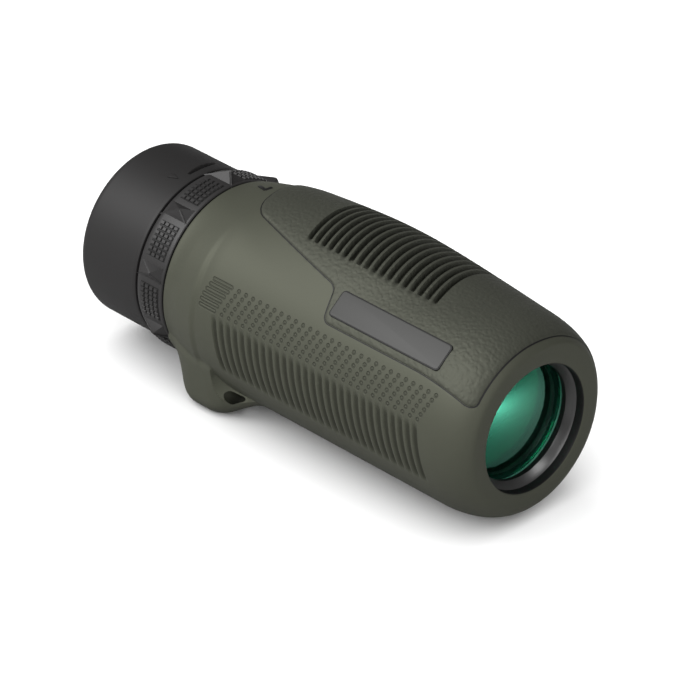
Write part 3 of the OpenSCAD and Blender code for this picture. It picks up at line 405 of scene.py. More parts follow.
def group_body_place():
    """Where a skin point lies: station, height and lean in millimetres, and the arc round from the top."""
    outputs = [(name, "NodeSocketFloat") for name in ("s", "u", "lean", "arc")]
    tree, w, _, out = shader_group("body_place", [], outputs)
    place = w.add("ShaderNodeTexCoord").outputs["Object"]
    parts = w.add("ShaderNodeSeparateXYZ", {0: place}).outputs
    sin = math.sin(ROLL) / MM
    cos = math.cos(ROLL) / MM
    u = w.maths("ADD", w.product(parts["Y"], sin), w.product(parts["Z"], cos))
    v = w.maths("SUBTRACT", w.product(parts["Y"], cos), w.product(parts["Z"], sin))
    s = w.product(parts["X"], -1 / MM)
    turn = w.maths("ARCTAN2", w.maths("ABSOLUTE", v), u)
    w.put(out["s"], s)
    w.put(out["u"], u)
    w.put(out["lean"], w.maths("SUBTRACT", s, w.product(u, LEAN)))
    w.put(out["arc"], w.product(turn, BARREL_R))
    return tree


def group_moulded_tone():
    """Soft, uneven tone and roughness of a moulded skin."""
    tree, w, given, out = shader_group(
        "moulded_tone",
        [("Colour", "NodeSocketColor", (0.1, 0.1, 0.1, 1)), ("Roughness", "NodeSocketFloat", 0.6),
         ("Spread", "NodeSocketFloat", 0.12)],
        [("Colour", "NodeSocketColor"), ("Roughness", "NodeSocketFloat")])
    place = w.add("ShaderNodeTexCoord").outputs["Object"]
    broad = w.add("ShaderNodeTexNoise", {"Vector": place, "Scale": 45.0, "Detail": 3.0}).outputs["Fac"]
    fine = w.add("ShaderNodeTexNoise", {"Vector": place, "Scale": 900.0, "Detail": 2.0}).outputs["Fac"]
    both = w.maths("ADD", w.product(broad, 0.65), w.product(fine, 0.35))
    swing = w.product(w.maths("SUBTRACT", both, 0.5), given["Spread"])
    lift = w.maths("ADD", w.product(swing, 2.0), 1.0)
    w.put(out["Colour"], w.scaled(given["Colour"], lift))
    w.put(out["Roughness"], w.maths("ADD", given["Roughness"], w.product(swing, 0.6)))
    return tree


def group_fine_grain():
    """Height of a fine moulded grain, in millimetres."""
    tree, w, given, out = shader_group(
        "fine_grain",
        [("Size", "NodeSocketFloat", 0.5), ("Depth", "NodeSocketFloat", 0.02)],
        [("Height", "NodeSocketFloat")])
    place = w.add("ShaderNodeTexCoord").outputs["Object"]
    scale = w.maths("DIVIDE", 1 / MM, given["Size"])
    noise = w.add("ShaderNodeTexNoise", {"Vector": place, "Scale": scale, "Detail": 3.0, "Roughness": 0.6})
    w.put(out["Height"], w.product(noise.outputs["Fac"], given["Depth"]))
    return tree


def group_leather_grain():
    """Height of pebbled leather grain, in millimetres: rounded cells between creases."""
    tree, w, given, out = shader_group(
        "leather_grain",
        [("Size", "NodeSocketFloat", 0.8), ("Depth", "NodeSocketFloat", 0.06)],
        [("Height", "NodeSocketFloat")])
    place = w.add("ShaderNodeTexCoord").outputs["Object"]
    scale = w.maths("DIVIDE", 1 / MM, given["Size"])
    warp = w.add("ShaderNodeTexNoise", {"Vector": place, "Scale": 900.0, "Detail": 2.0}).outputs["Color"]
    bent = w.add("ShaderNodeVectorMath", {0: place, 1: w.scaled(warp, 0.7 * MM)}, operation="ADD").outputs[0]
    cells = w.add("ShaderNodeTexVoronoi", {"Vector": bent, "Scale": scale, "Randomness": 1.0},
                  feature="SMOOTH_F1").outputs["Distance"]
    domed = w.ramp(cells, 0.15, 0.75, 1.0, 0.0)
    w.put(out["Height"], w.product(domed, given["Depth"]))
    return tree


def group_groove_shade():
    """Mask of the leaning grooves' floors, where painted shade darkens the rubber."""
    tree, w, given, out = shader_group(
        "groove_shade",
        [(name, "NodeSocketFloat", default) for name, default in
         (("Lean", 0.0), ("First", 0.0), ("Pitch", 2.0), ("Count", 10.0), ("Flat", 0.2), ("Edge", 0.6))],
        [("Mask", "NodeSocketFloat")])
    past = w.maths("SUBTRACT", given["Lean"], given["First"])
    step = w.maths("MAXIMUM", w.maths("ROUND", w.maths("DIVIDE", past, given["Pitch"])), 0.0)
    step = w.maths("MINIMUM", step, w.maths("SUBTRACT", given["Count"], 1.0))
    off = w.maths("ABSOLUTE", w.maths("SUBTRACT", past, w.product(step, given["Pitch"])))
    w.put(out["Mask"], w.ramp(off, given["Flat"], given["Edge"], 1.0, 0.0))
    return tree


GROUPS = {make.__name__.replace("group_", ""): make() for make in
          (group_body_place, group_moulded_tone, group_fine_grain, group_leather_grain, group_groove_shade)}


def use_group(wires, name, **ins):
    node = wires.add("ShaderNodeGroup", ins, node_tree=GROUPS[name])
    return node.outputs


def new_material(name):
    material = bpy.data.materials.new(name)
    material.use_nodes = True
    wires = Wiring(material.node_tree)
    return material, wires, material.node_tree.nodes["Principled BSDF"]


def moulded_tone(wires, shader, colour, roughness, spread):
    """Uneven colour for the shader, whose roughness is set here."""
    tone = use_group(wires, "moulded_tone", Colour=(*colour, 1), Roughness=roughness, Spread=spread)
    wires.put(shader.inputs["Roughness"], tone["Roughness"])
    return tone["Colour"]


def bump_from(wires, height_mm, shader):
    bump = wires.add("ShaderNodeBump", {"Height": height_mm, "Distance": MM, "Strength": 1.0})
    wires.put(shader.inputs["Normal"], bump.outputs["Normal"])


def plain_moulding(name, colour, roughness, spread=0.1, grain=(0.4, 0.012), specular=0.35):
    material, w, shader = new_material(name)
    tone = moulded_tone(w, shader, colour, roughness, spread)
    w.fill(shader, {"Base Color": tone, "Specular IOR Level": specular})
    bump_from(w, use_group(w, "fine_grain", Size=grain[0], Depth=grain[1])["Height"], shader)
    return material


def metal(name, colour, roughness):
    material, w, shader = new_material(name)
    tone = moulded_tone(w, shader, colour, roughness, 0.06)
    w.fill(shader, {"Base Color": tone, "Metallic": 1.0})
    return material


def coated_glass(name, tint, coat_tint, coat, ior=1.5):
    material, w, shader = new_material(name)
    edge = w.add("ShaderNodeLayerWeight", {"Blend": 0.35}).outputs["Facing"]
    deep_tint = [0.7 * channel for channel in tint]
    w.fill(shader, {
        "Base Color": w.blend(edge, (*tint, 1), (*deep_tint, 1)),
        "Roughness": 0.0,
        "IOR": ior,
        "Transmission Weight": 1.0,
        "Specular IOR Level": coat,
        "Specular Tint": (*coat_tint, 1),
    })
    return material


def dot_band(w, place):
    """Height in millimetres of the ringed dots and slots moulded above the ribs, and a mask of painted shade
    in their dents that is lighter on their raised cores.
    """
    below = w.maths("SUBTRACT", place["arc"], DOT_FIRST)
    row = w.maths("ROUND", w.maths("DIVIDE", below, DOT_ROW))
    across = w.maths("SUBTRACT", below, w.product(row, DOT_ROW))
    along = w.maths("SUBTRACT", w.maths("SUBTRACT", place["s"], w.product(row, DOT_SHIFT)), DOT_S)
    step = w.maths("ROUND", w.maths("DIVIDE", along, DOT_PITCH))
    off = w.maths("SUBTRACT", along, w.product(step, DOT_PITCH))
    past_slot = w.maths("SUBTRACT", w.maths("ABSOLUTE", w.maths("SUBTRACT", along, SLOT_MIDDLE)), SLOT_HALF)
    past_slot = w.maths("MAXIMUM", past_slot, w.maths("SUBTRACT", place["s"], SLOT_END_S))
    past_slot = w.maths("MAXIMUM", past_slot, 0.0)
    in_slots = w.maths("GREATER_THAN", along, 0.5 * DOT_PITCH)
    far = w.maths("ADD", w.product(in_slots, w.far(past_slot, across)),
                  w.product(w.maths("SUBTRACT", 1.0, in_slots), w.far(off, across)))
    inside = w.product(w.maths("GREATER_THAN", row, -0.5), w.maths("LESS_THAN", row, DOT_ROWS - 0.5),
                       w.maths("GREATER_THAN", along, -(DOT_COUNT - 0.5) * DOT_PITCH))
    dent = w.product(w.ramp(far, DENT_FLOOR, DENT_EDGE, 1.0, 0.0), inside)
    core = w.product(w.ramp(far, CORE_TOP, CORE_EDGE, 1.0, 0.0), inside)
    height = w.maths("SUBTRACT", w.product(core, CORE_HEIGHT), w.product(dent, DENT_DEPTH))
    return height, w.maths("SUBTRACT", dent, w.product(core, CORE_SHADE_SPARED))


def armour_material():
    material, w, shader = new_material("green_armour")
    place = use_group(w, "body_place")
    tone = moulded_tone(w, shader, ARMOUR_GREEN, 0.6, 0.08)
    # Painted shade: the ringed dents are darkened in the colour, less on their raised cores
    dots, dot_painted_shade = dot_band(w, place)
    # Painted shade: the floors of the side grooves are darkened in the colour
    painted_groove_shade = use_group(w, "groove_shade", Lean=place["lean"], First=RIB_FIRST, Pitch=RIB_PITCH,
                      Count=float(RIB_COUNT), Flat=RIB_LINE_FLAT, Edge=RIB_EDGE)["Mask"]
    side = w.product(w.ramp(place["u"], RIB_TOP, RIB_TOP_FADED, 1.0, 0.0),
                     w.ramp(place["u"], RIB_FOOT - RIB_FOOT_FADE, RIB_FOOT + RIB_FOOT_FADE))
    shade = w.maths("MAXIMUM", w.product(dot_painted_shade, 0.45), w.product(painted_groove_shade, side, 0.6))
    w.fill(shader, {
        "Base Color": w.scaled(tone, w.maths("SUBTRACT", 1.0, shade)),
        "Specular IOR Level": 0.5,
        "Specular Tint": RUBBER_SHEEN,
    })
    grain = use_group(w, "fine_grain", Size=0.35, Depth=0.012)["Height"]
    bump_from(w, w.maths("ADD", grain, dots), shader)
    return material


def panel_material():
    material, w, shader = new_material("grained_panel")
    place = use_group(w, "body_place")
    tone = moulded_tone(w, shader, PANEL_GREEN, 0.6, 0.1)
    # Painted shade: the floors of the grooves on top are darkened in the colour
    painted_groove_shade = use_group(w, "groove_shade", Lean=place["lean"], First=GROOVE_FIRST, Pitch=GROOVE_PITCH,
                      Count=float(GROOVE_COUNT), Flat=GROOVE_FLAT, Edge=GROOVE_EDGE)["Mask"]
    top = w.ramp(place["u"], GROOVE_LINE_END, GROOVE_LINE_FULL)
    shade = w.product(painted_groove_shade, top, 0.9)
    w.fill(shader, {
        "Base Color": w.scaled(tone, w.maths("SUBTRACT", 1.0, shade)),
        "Specular IOR Level": 0.5,
        "Specular Tint": RUBBER_SHEEN,
    })
    bump_from(w, use_group(w, "leather_grain", Size=0.75, Depth=0.06)["Height"], shader)
    return material


green_armour = armour_material()
grained_panel = panel_material()
black_rubber = plain_moulding("black_rubber", (0.018, 0.0172, 0.0172), 0.58, grain=(0.3, 0.008), specular=0.3)
grip_rubber = plain_moulding("grip_rubber", (0.021, 0.020, 0.020), 0.52, grain=(0.3, 0.008), specular=0.45)
plate_grey = plain_moulding("plate_grey", (0.039, 0.039, 0.037), 0.55, spread=0.05, grain=(0.15, 0.004),
                            specular=0.4)
# Plain black for black parts, also laid on as painted shade in the panel's joint and in the knurls' grooves
black_and_gap_shade = plain_moulding("black_and_gap_shade", (0.006, 0.006, 0.006), 0.6)
stop_black = plain_moulding("stop_black", (0.006, 0.006, 0.006), 0.45)
housing_black = plain_moulding("housing_black", (0.02, 0.02, 0.02), 0.5)
slider_white = plain_moulding("slider_white", (0.7, 0.69, 0.64), 0.4)
pin_steel = metal("pin_steel", (0.6, 0.6, 0.62), 0.25)
blued_steel = metal("blued_steel", (0.03, 0.03, 0.032), 0.45)
anodised_grey = plain_moulding("anodised_grey", (0.025, 0.024, 0.024), 0.36, spread=0.06, specular=0.9)
ground_edge = plain_moulding("ground_edge", (0.55, 0.72, 0.64), 0.7)
front_glass = coated_glass("front_glass", (0.25, 0.85, 0.65), GREEN_COAT, 1.0, ior=1.8)
inner_glass = coated_glass("inner_glass", (0.50, 0.90, 0.80), GREEN_COAT, 0.6)
cemented_face = coated_glass("cemented_face", (0.40, 0.90, 0.75), (1.0, 1.0, 1.0), 0.5, ior=1.01)

SLOT_FINISH = {
    "armour_rubber": green_armour, "panel_rubber": grained_panel, "badge_metal": plate_grey,
    "housing_plastic": housing_black, "black_metal": stop_black, "black_plastic": stop_black,
    "steel": pin_steel, "coated_glass": front_glass, "clear_glass": inner_glass, "seal_rubber": black_and_gap_shade,
    "grip_rubber": grip_rubber, "eyecup_rubber": black_rubber, "slider_plastic": slider_white,
}


def finish_cad_nodes():
    """Each solid that still shows takes the finish of its slot in the record, and the circlip is blued."""
    for part in frame["record"]["subparts"]:
        solid = nodes[part["node"]]
        finish = blued_steel if part["node"] == "focus_circlip" else SLOT_FINISH[part["material_slot"]]
        if not solid.material_slots:
            solid.data.materials.append(finish)
        for held in solid.material_slots:
            held.material = finish


def keel_columns(angle):
    """Even columns drawn together towards the lug's keel, where the skin is steep."""
    return np.sign(angle) * np.interp(np.abs(angle), KEEL_EVEN, KEEL_DRAWN)


def armour_profile(blank):
    """Outside rows at the blank's radius, then the rear edge, the bores and the mouth's rim."""
    ribs = groove_stations(RIB_FIRST, RIB_PITCH, RIB_COUNT, RIB_OFFSETS)
    profile = [(blank, t) for t in NOSE_ROWS + ribs + REAR_ROWS]
    profile += [(REAR_R - REAR_ROUND, ARMOUR_LEN), (REAR_BORE_R, ARMOUR_LEN)]
    profile += [(REAR_BORE_R, REAR_BORE_FRONT), (HOUSING_R, REAR_BORE_FRONT)]
    profile += [(HOUSING_R, CAVITY_STEP), (NOSE_CAVITY_R, CAVITY_STEP)]
    profile += [(NOSE_CAVITY_R, FRONT_WALL), (OPENING_R, FRONT_WALL)]
    return profile + [(OPENING_R + past, s) for past, s in MOUTH_RIM]


def armour():
    blank = 30.0
    bm = turned_blank(armour_profile(blank), ARMOUR_COLUMNS)
    at = points_of(bm)
    far = np.hypot(at[:, 0], at[:, 1])
    t = at[:, 2]
    angle = keel_columns(np.arctan2(at[:, 1], at[:, 0]))
    s, r = leaning_skin(t, angle)
    u = r * np.cos(angle)
    v = r * np.sin(angle)
    sides = smooth_step((RIB_TOP_FADED - u) / (RIB_TOP_FADED - RIB_TOP))
    sides = sides * smooth_step((u - RIB_FOOT + RIB_FOOT_FADE) / (2 * RIB_FOOT_FADE))
    r = r - RIB_DEPTH * sides * groove_profile(t, RIB_FIRST, RIB_PITCH, RIB_COUNT, RIB_FLAT, RIB_EDGE)
    r = r - PANEL_DEPTH * smooth_step((inside_panel(s, u, v) - PANEL_BED_INSET) / PANEL_BED_FADE)
    edge = np.clip(s - (ARMOUR_LEN - REAR_ROUND), 0, REAR_ROUND)
    r = r - REAR_ROUND + np.sqrt(REAR_ROUND**2 - edge**2)
    outer = far > blank - 1
    set_points(bm, np.stack(round_point(np.where(outer, s, t), angle, np.where(outer, r, far)), 1))
    piece = made_piece(bm, "armour_skin", "body", green_armour, ["rubber_armour"], sharp=50)
    cut_lanyard_hole(piece)
    blacken_mouth(piece)


def blacken_mouth(piece):
    """The wall inside the front opening is black, up to its sharp rim."""
    piece.data.materials.append(black_and_gap_shade)
    black = len(piece.data.materials) - 1
    for face in piece.data.polygons:
        far = math.hypot(face.center.y, face.center.z) / MM
        if far < OPENING_R + MOUTH_BAND and face.center.x > -FRONT_WALL * MM * 1.01:
            face.material_index = black


def cut_lanyard_hole(piece):
    """Hole for a lanyard, drawn out forwards to the fin's thin end."""
    bm = bmesh.new()
    flat = Matrix.Rotation(math.pi / 2, 4, "X")
    for s, depth, r in ((LANYARD_S, LANYARD_DEPTH, LANYARD_R),
                        (LANYARD_TOE_S, LANYARD_TOE_DEPTH, LANYARD_TOE_R)):
        for end in (-DRILL_HALF, DRILL_HALF):
            place = Matrix.Translation((-depth, end, s)) @ flat
            bmesh.ops.create_circle(bm, segments=DRILL_SIDES, radius=r, matrix=place)
    bmesh.ops.convex_hull(bm, input=bm.verts)
    bmesh.ops.recalc_face_normals(bm, faces=bm.faces)
    bm.transform(WORK_TO_ROW)
    drill = mesh_object(bm, "lanyard_drill", green_armour)
    cut = piece.modifiers.new("lanyard_hole", "BOOLEAN")
    cut.operation = "DIFFERENCE"
    cut.solver = "MANIFOLD"
    cut.object = drill
    bpy.context.view_layer.update()
    shaped = bpy.data.meshes.new_from_object(piece.evaluated_get(bpy.context.evaluated_depsgraph_get()))
    piece.modifiers.clear()
    piece.data = shaped
    bpy.data.objects.remove(drill)


def index_mark():
    """Black chevron in front of the focus ring, its point towards the objective."""
    bm = bmesh.new()
    for arm in CHEVRON_ARMS:
        ends = []
        for s, turn in (CHEVRON_POINT, arm):
            angle = -math.radians(turn)
            ends.append(Vector(round_point(s, angle, float(body_radius(s, angle)))))
        length = (ends[1] - ends[0]).length
        along = (ends[1] - ends[0]).normalized()
        outward = Vector((ends[0].x, ends[0].y, 0)).normalized()
        across = outward.cross(along).normalized()
        turned = Matrix((along, across, along.cross(across))).transposed().to_4x4()
        size = Matrix.Diagonal((length + CHEVRON_OVERLAP, CHEVRON_W, CHEVRON_T, 1))
        place = Matrix.Translation((ends[0] + ends[1]) / 2)
        made = bmesh.ops.create_cube(bm, size=1, matrix=place @ turned @ size)
        ease(bm, list({edge for vert in made["verts"] for edge in vert.link_edges}), CHEVRON_EASE, 2)
    made_piece(bm, "index_chevron", "body", black_and_gap_shade)


def panel_radius(s, angle):
    return body_radius(s, angle) + PANEL_PROUD


def panel_half_turn(t):
    """Angle from the top at which leaning ring t leaves the panel's outline."""
    angle = PANEL_SWEEP
    found = []
    for ring in t:
        s, r = leaning_skin(ring + 0 * angle, angle, panel_radius)
        inside = inside_panel(s, r * np.cos(angle), r * np.sin(angle))
        out = np.argmax(inside < 0)
        if inside[0] < 0:
            found.append(0.0)
        else:
            share = inside[out - 1] / (inside[out - 1] - inside[out])
            found.append(angle[out - 1] + share * (angle[out] - angle[out - 1]))
    return np.array(found)


def panel_rows():
    """Leaning rings of the panel, close together at its edges, its grooves and its step."""
    step = PANEL_STEP_S + PANEL_LOW * LEAN
    rows = [PANEL_FRONT + d for d in PANEL_ROUND_ROWS] + list(np.linspace(2.4, 18.5, 20))
    rows += groove_stations(GROOVE_FIRST, GROOVE_PITCH, GROOVE_COUNT, GROOVE_OFFSETS)
    rows += [step - d for d in (1.4, 1.15, 0.9, 0.65, 0.45, 0.3, 0.18, 0.1, 0.04, 0.005)]
    rows += [step + d for d in (0.005, 0.04, 0.12, 0.25, 0.45, 0.7, 1.0, 1.4)]
    rows += list(np.linspace(55.0, 70.0, 16)) + list(71.85 - 1.75 * np.linspace(1, 0, 30) ** 1.5)
    rows = np.unique(np.round(rows, 4))
    half = panel_half_turn(rows)
    kept = half > PANEL_LEAST_TURN
    return rows[kept], half[kept]


def panel_sheet():
    """Grid of leaning rows and columns, laid on the crown, rounded at its edge and cut by the grooves."""
    rows, half = panel_rows()
    inner = np.linspace(-1, 1, PANEL_COLUMNS)
    rounds = PANEL_ROUND_ROWS[:-1]
    columns = len(inner) + 2 * len(rounds)
    bm = bmesh.new()
    bmesh.ops.create_grid(bm, x_segments=columns - 1, y_segments=len(rows) - 1, size=1)
    at = points_of(bm)
    col = np.round((at[:, 0] + 1) / 2 * (columns - 1)).astype(int)
    row = np.round((at[:, 1] + 1) / 2 * (len(rows) - 1)).astype(int)
    t = rows[row]
    edge_turn = half[row]
    soft = np.minimum(PANEL_ROUND / BARREL_R, edge_turn * 0.5)
    ends = np.zeros(len(rounds))
    share = np.concatenate([ends, inner, ends])[col]
    from_edge = np.concatenate([rounds, np.full(len(inner), PANEL_ROUND), rounds[::-1]])[col] / PANEL_ROUND
    side = np.where(col < columns / 2, -1, 1)
    angle = np.where(from_edge < 1, side * (edge_turn - soft * from_edge), share * (edge_turn - soft))
    s, r = leaning_skin(t, angle, panel_radius)
    u = r * np.cos(angle)
    v = r * np.sin(angle)
    inside = np.clip(inside_panel(s, u, v), 0, PANEL_ROUND) / PANEL_ROUND
    r = r - PANEL_EDGE_DROP * (1 - np.sqrt(np.maximum(0, 1 - (1 - inside) ** 2)))
    top = smooth_step((u - GROOVE_END + GROOVE_END_LEAD) / GROOVE_END_FADE)
    grooves = groove_profile(t, GROOVE_FIRST, GROOVE_PITCH, GROOVE_COUNT, GROOVE_FLAT, GROOVE_EDGE)
    r = r - GROOVE_DEPTH * top * grooves
    set_points(bm, np.stack(round_point(s, angle, r), 1))
    return bm


def panel():
    bm = panel_sheet()
    long_rim = [edge for edge in rim_of(bm) if edge.calc_length() > LONG_RIM]
    for vert in verts_in(bmesh.ops.subdivide_edges(bm, edges=long_rim, cuts=LONG_RIM_CUTS)["geom_inner"]):
        angle = math.atan2(vert.co.y, vert.co.x)
        r = float(body_radius(vert.co.z, angle)) - LONG_RIM_SUNK
        vert.co = round_point(vert.co.z, angle, r)
    bmesh.ops.recalc_face_normals(bm, faces=bm.faces)
    panel_seam(bm.copy())
    for vert in verts_in(bmesh.ops.extrude_edge_only(bm, edges=rim_of(bm))["geom"]):
        vert.co.x *= PANEL_SKIRT
        vert.co.y *= PANEL_SKIRT
    bmesh.ops.recalc_face_normals(bm, faces=bm.faces)
    made_piece(bm, "panel_skin", "body", grained_panel, ["top_panel"], sharp=50)


def panel_slope(s, angle, r):
    """How the distance inside the panel's outline grows along the barrel and round it."""

    def depth(ds, da):
        turned = angle + da / r
        return float(inside_panel(s + ds, r * math.cos(turned), r * math.sin(turned)))

    return depth(SLOPE_STEP, 0) - depth(-SLOPE_STEP, 0), depth(0, SLOPE_STEP) - depth(0, -SLOPE_STEP)


def panel_seam(bm):
    """Thin black strip round the panel, drawn out from the panel's rim, that paints the shade of the gap at
    its joint.
    """
    skin = list(bm.faces)
    outer = set(verts_in(bmesh.ops.extrude_edge_only(bm, edges=rim_of(bm))["geom"]))
    bmesh.ops.delete(bm, geom=skin, context="FACES")
    for vert in bm.verts:
        s = vert.co.z
        angle = math.atan2(vert.co.y, vert.co.x)
        if vert in outer:
            r = float(body_radius(s, angle))
            slope_s, slope_a = panel_slope(s, angle, r)
            steep = max(1e-9, math.hypot(slope_s, slope_a))
            s = s - SEAM_W * slope_s / steep
            angle = angle - SEAM_W * slope_a / steep / r
        vert.co = round_point(s, angle, float(body_radius(s, angle)) + SEAM_PROUD)
    face_outward(bm, list(bm.faces))
    made_piece(bm, "panel_seam", "body", black_and_gap_shade)


def laid_plate(name, grow, height, corner, material, stands_for=()):
    bm = bmesh.new()
    size = Matrix.Diagonal((height, PLATE_W + 2 * grow, PLATE_LEN + 2 * grow, 1))
    bmesh.ops.create_cube(bm, size=1, matrix=size)
    ease(bm, [e for e in bm.edges if abs(e.verts[0].co.x - e.verts[1].co.x) > 0.1], corner, 6)
    ease(bm, [e for e in bm.edges if all(vert.co.x > 0.4 * height for vert in e.verts)], PLATE_EASE, 3)
    turned = Matrix.Rotation(-math.radians(PLATE_TURN), 4, "Z")
    bm.transform(turned @ Matrix.Translation((PLATE_FLOOR + height / 2, 0, PLATE_S)))
    made_piece(bm, name, "body", material, stands_for, sharp=50)


def plate():
    """Bare plate on a dark bed that shows as a thin line round it."""
    laid_plate("plate_bed", BED_GROW, PLATE_T - BED_SUNK, BED_CORNER, black_and_gap_shade)
    laid_plate("plate_face", 0.0, PLATE_T, PLATE_CORNER, plate_grey, ["badge_plate"])


def focus_grip():
    """Ring with knurled pads and four-sided studs by turns round it."""
    profile = [(RING_R - RING_ROUND * (1 - math.sin(k)), RING_FRONT + RING_ROUND * (1 - math.cos(k)))
               for k in np.linspace(0, math.pi / 2, 6)]
    profile += [(RING_R - fall, s) for fall, s in RING_REAR]
    profile += [(RING_CORE_R, RING_BACK), (RING_CORE_R, RING_FRONT)]
    bm = turned_blank(profile, RING_COLUMNS)
    pitch = 360 / PAD_COUNT
    for pad in range(PAD_COUNT):
        add_knurls(bm, math.radians(pad * pitch - PAD_REST))
        add_stud(bm, math.radians((pad + 0.5) * pitch - PAD_REST))
    grip = made_piece(bm, "grip_ring", "focus_ring", grip_rubber, ["focus_ring_grip"],
                      sharp=30)
    # Second slot: black, painted as shade in the knurls' grooves
    grip.data.materials.append(black_and_gap_shade)


def add_knurls(bm, middle):
    """Blunt squares in rows on one pad, raised from an inset grid whose grooves are painted black as shade.
    """
    verts = bmesh.ops.create_grid(bm, x_segments=KNURLS_ALONG, y_segments=KNURLS_ROUND, size=1)["verts"]
    faces = list({face for vert in verts for face in vert.link_faces})
    for vert in verts:
        turn = middle + vert.co.y * math.radians(PAD_TURN / 2)
        vert.co = round_point(PAD_FRONT + (vert.co.x + 1) * PAD_LEN / 2, turn, RING_R + PAD_CLEAR)
    face_outward(bm, faces)
    grooves = bmesh.ops.inset_individual(bm, faces=faces, thickness=KNURL_GROOVE, depth=0.0,
                                         use_even_offset=True)["faces"]
    # The grooves take the black second slot as painted shade
    for groove in grooves:
        groove.material_index = 1
    bmesh.ops.inset_individual(bm, faces=faces, thickness=KNURL_SLOPE, depth=PAD_H, use_even_offset=True)


def add_stud(bm, middle):
    """Four-sided stud with its peak towards the front and its edges eased."""
    height = STUD_H + STUD_SUNK
    spread = height / STUD_H
    verts = bmesh.ops.create_cone(bm, cap_ends=True, segments=4, radius1=math.sqrt(0.5), radius2=STUD_TIP,
                                  depth=1, matrix=Matrix.Rotation(math.pi / 4, 4, "Z"))["verts"]
    axes = Matrix(((0, 0, height), (STUD_W * spread, 0, 0), (0, STUD_LEN * spread, 0)))
    peak = Vector((RING_R + (STUD_H - STUD_SUNK) / 2, 0, STUD_FRONT + STUD_PEAK))
    base = peak + Vector((0, 0, (STUD_LEN / 2 - STUD_PEAK) * spread))
    for vert in verts:
        vert.co = axes @ vert.co + (base if vert.co.z < 0 else peak)
    eased = ease(bm, list({edge for vert in verts for edge in vert.link_edges}), STUD_EASE, 3)
    stud = set(eased["verts"]) | {vert for vert in verts if vert.is_valid}
    bmesh.ops.rotate(bm, verts=list(stud), cent=(0, 0, 0), matrix=Matrix.Rotation(middle, 3, "Z"))


def eyecup():
    lip = [(EYECUP_R - EYECUP_RIM * (1 - math.cos(k)), EYECUP_BACK - EYECUP_RIM * (1 - math.sin(k)))
           for k in np.linspace(0, math.pi / 2, 14)]
    mouth = [(EYE_OPENING_R + EYE_ROUND * (1 - math.sin(k)), EYECUP_BACK - EYE_ROUND * (1 - math.cos(k)))
             for k in np.linspace(0, math.pi / 2, 7)]
    profile = [(r, EYECUP_FRONT + past) for r, past in EYECUP_NOSE]
    profile += [(EYECUP_R, s) for s in SLIT_ROWS] + [(EYECUP_R, EYECUP_WAIST_S)] + lip + mouth
    profile += [(EYE_OPENING_R, EYE_SHELF_S), (SLEEVE_R, EYE_SHELF_S), (SLEEVE_R, SLEEVE_FRONT)]
    profile += [(EYECUP_BORE_R, SLEEVE_FRONT), (EYECUP_BORE_R, EYECUP_FRONT)]
    bm = turned_blank(profile, RING_COLUMNS)
    at = points_of(bm)
    turn = -np.degrees(np.arctan2(at[:, 1], at[:, 0]))
    r = np.hypot(at[:, 0], at[:, 1])
    half = SLIT_HALF * np.sqrt(np.maximum(0, 1 - ((turn - SLIT_TURN) / SLIT_HALF_TURN) ** 2))
    off = np.abs(at[:, 2] - SLIT_S - (SLIT_TURN - turn) * SLIT_LEAN)
    in_slit = (half > SLIT_LEAST) * (r > EYECUP_R - 0.01)
    slit = SLIT_DEPTH * (1 - smooth_step((off - half + SLIT_INSET) / SLIT_FADE)) * in_slit
    at[:, :2] *= (1 - slit / r)[:, None]
    set_points(bm, at)
    made_piece(bm, "eyecup_skin", "eyecup", black_rubber, ["eyecup_rubber"], sharp=40)
    eyecup_arrow()


def eyecup_arrow():
    """Small raised arrowhead on the eyecup, its point towards the focus ring."""
    bm = bmesh.new()
    corners = [bm.verts.new(round_point(s, -math.radians(turn), EYECUP_R - ARROW_SUNK))
               for s, turn in ARROW_CORNERS]
    head = bm.faces.new(corners)
    outward = Vector((*head.calc_center_median().xy, 0)).normalized()
    lifted = bmesh.ops.extrude_face_region(bm, geom=[head])["geom"]
    bmesh.ops.translate(bm, verts=verts_in(lifted), vec=outward * ARROW_LIFT)
    bmesh.ops.recalc_face_normals(bm, faces=bm.faces)
    ease(bm, list(bm.edges), ARROW_EASE, 2)
    made_piece(bm, "eyecup_arrow", "eyecup", black_rubber)


def sag(curve, r):
    return curve - math.sqrt(curve**2 - r**2)


def lens_side(curve, edge_s, bulge, steps=40):
    """Points of one polished side from the axis to the edge; a bulge of -1 is towards the front."""
    return [(r, edge_s + bulge * (sag(curve, LENS_R) - sag(curve, r))) for r in np.linspace(0, LENS_R, steps)]


def front_lens(name, material, front, back, cemented, stands_for):
    """One lens of the front pair; cemented is 1 where its rear side is the cemented one, else -1."""
    bm = turned_blank(front + back[::-1], LENS_COLUMNS, closed=False)
    for face in bm.faces:
        face.material_index = int(face.normal.z * cemented > 0.5)
    lens = made_piece(bm, name, "body", material, stands_for, sharp=40)
    lens.data.materials.append(cemented_face)
    lens.visible_shadow = False
    return lens


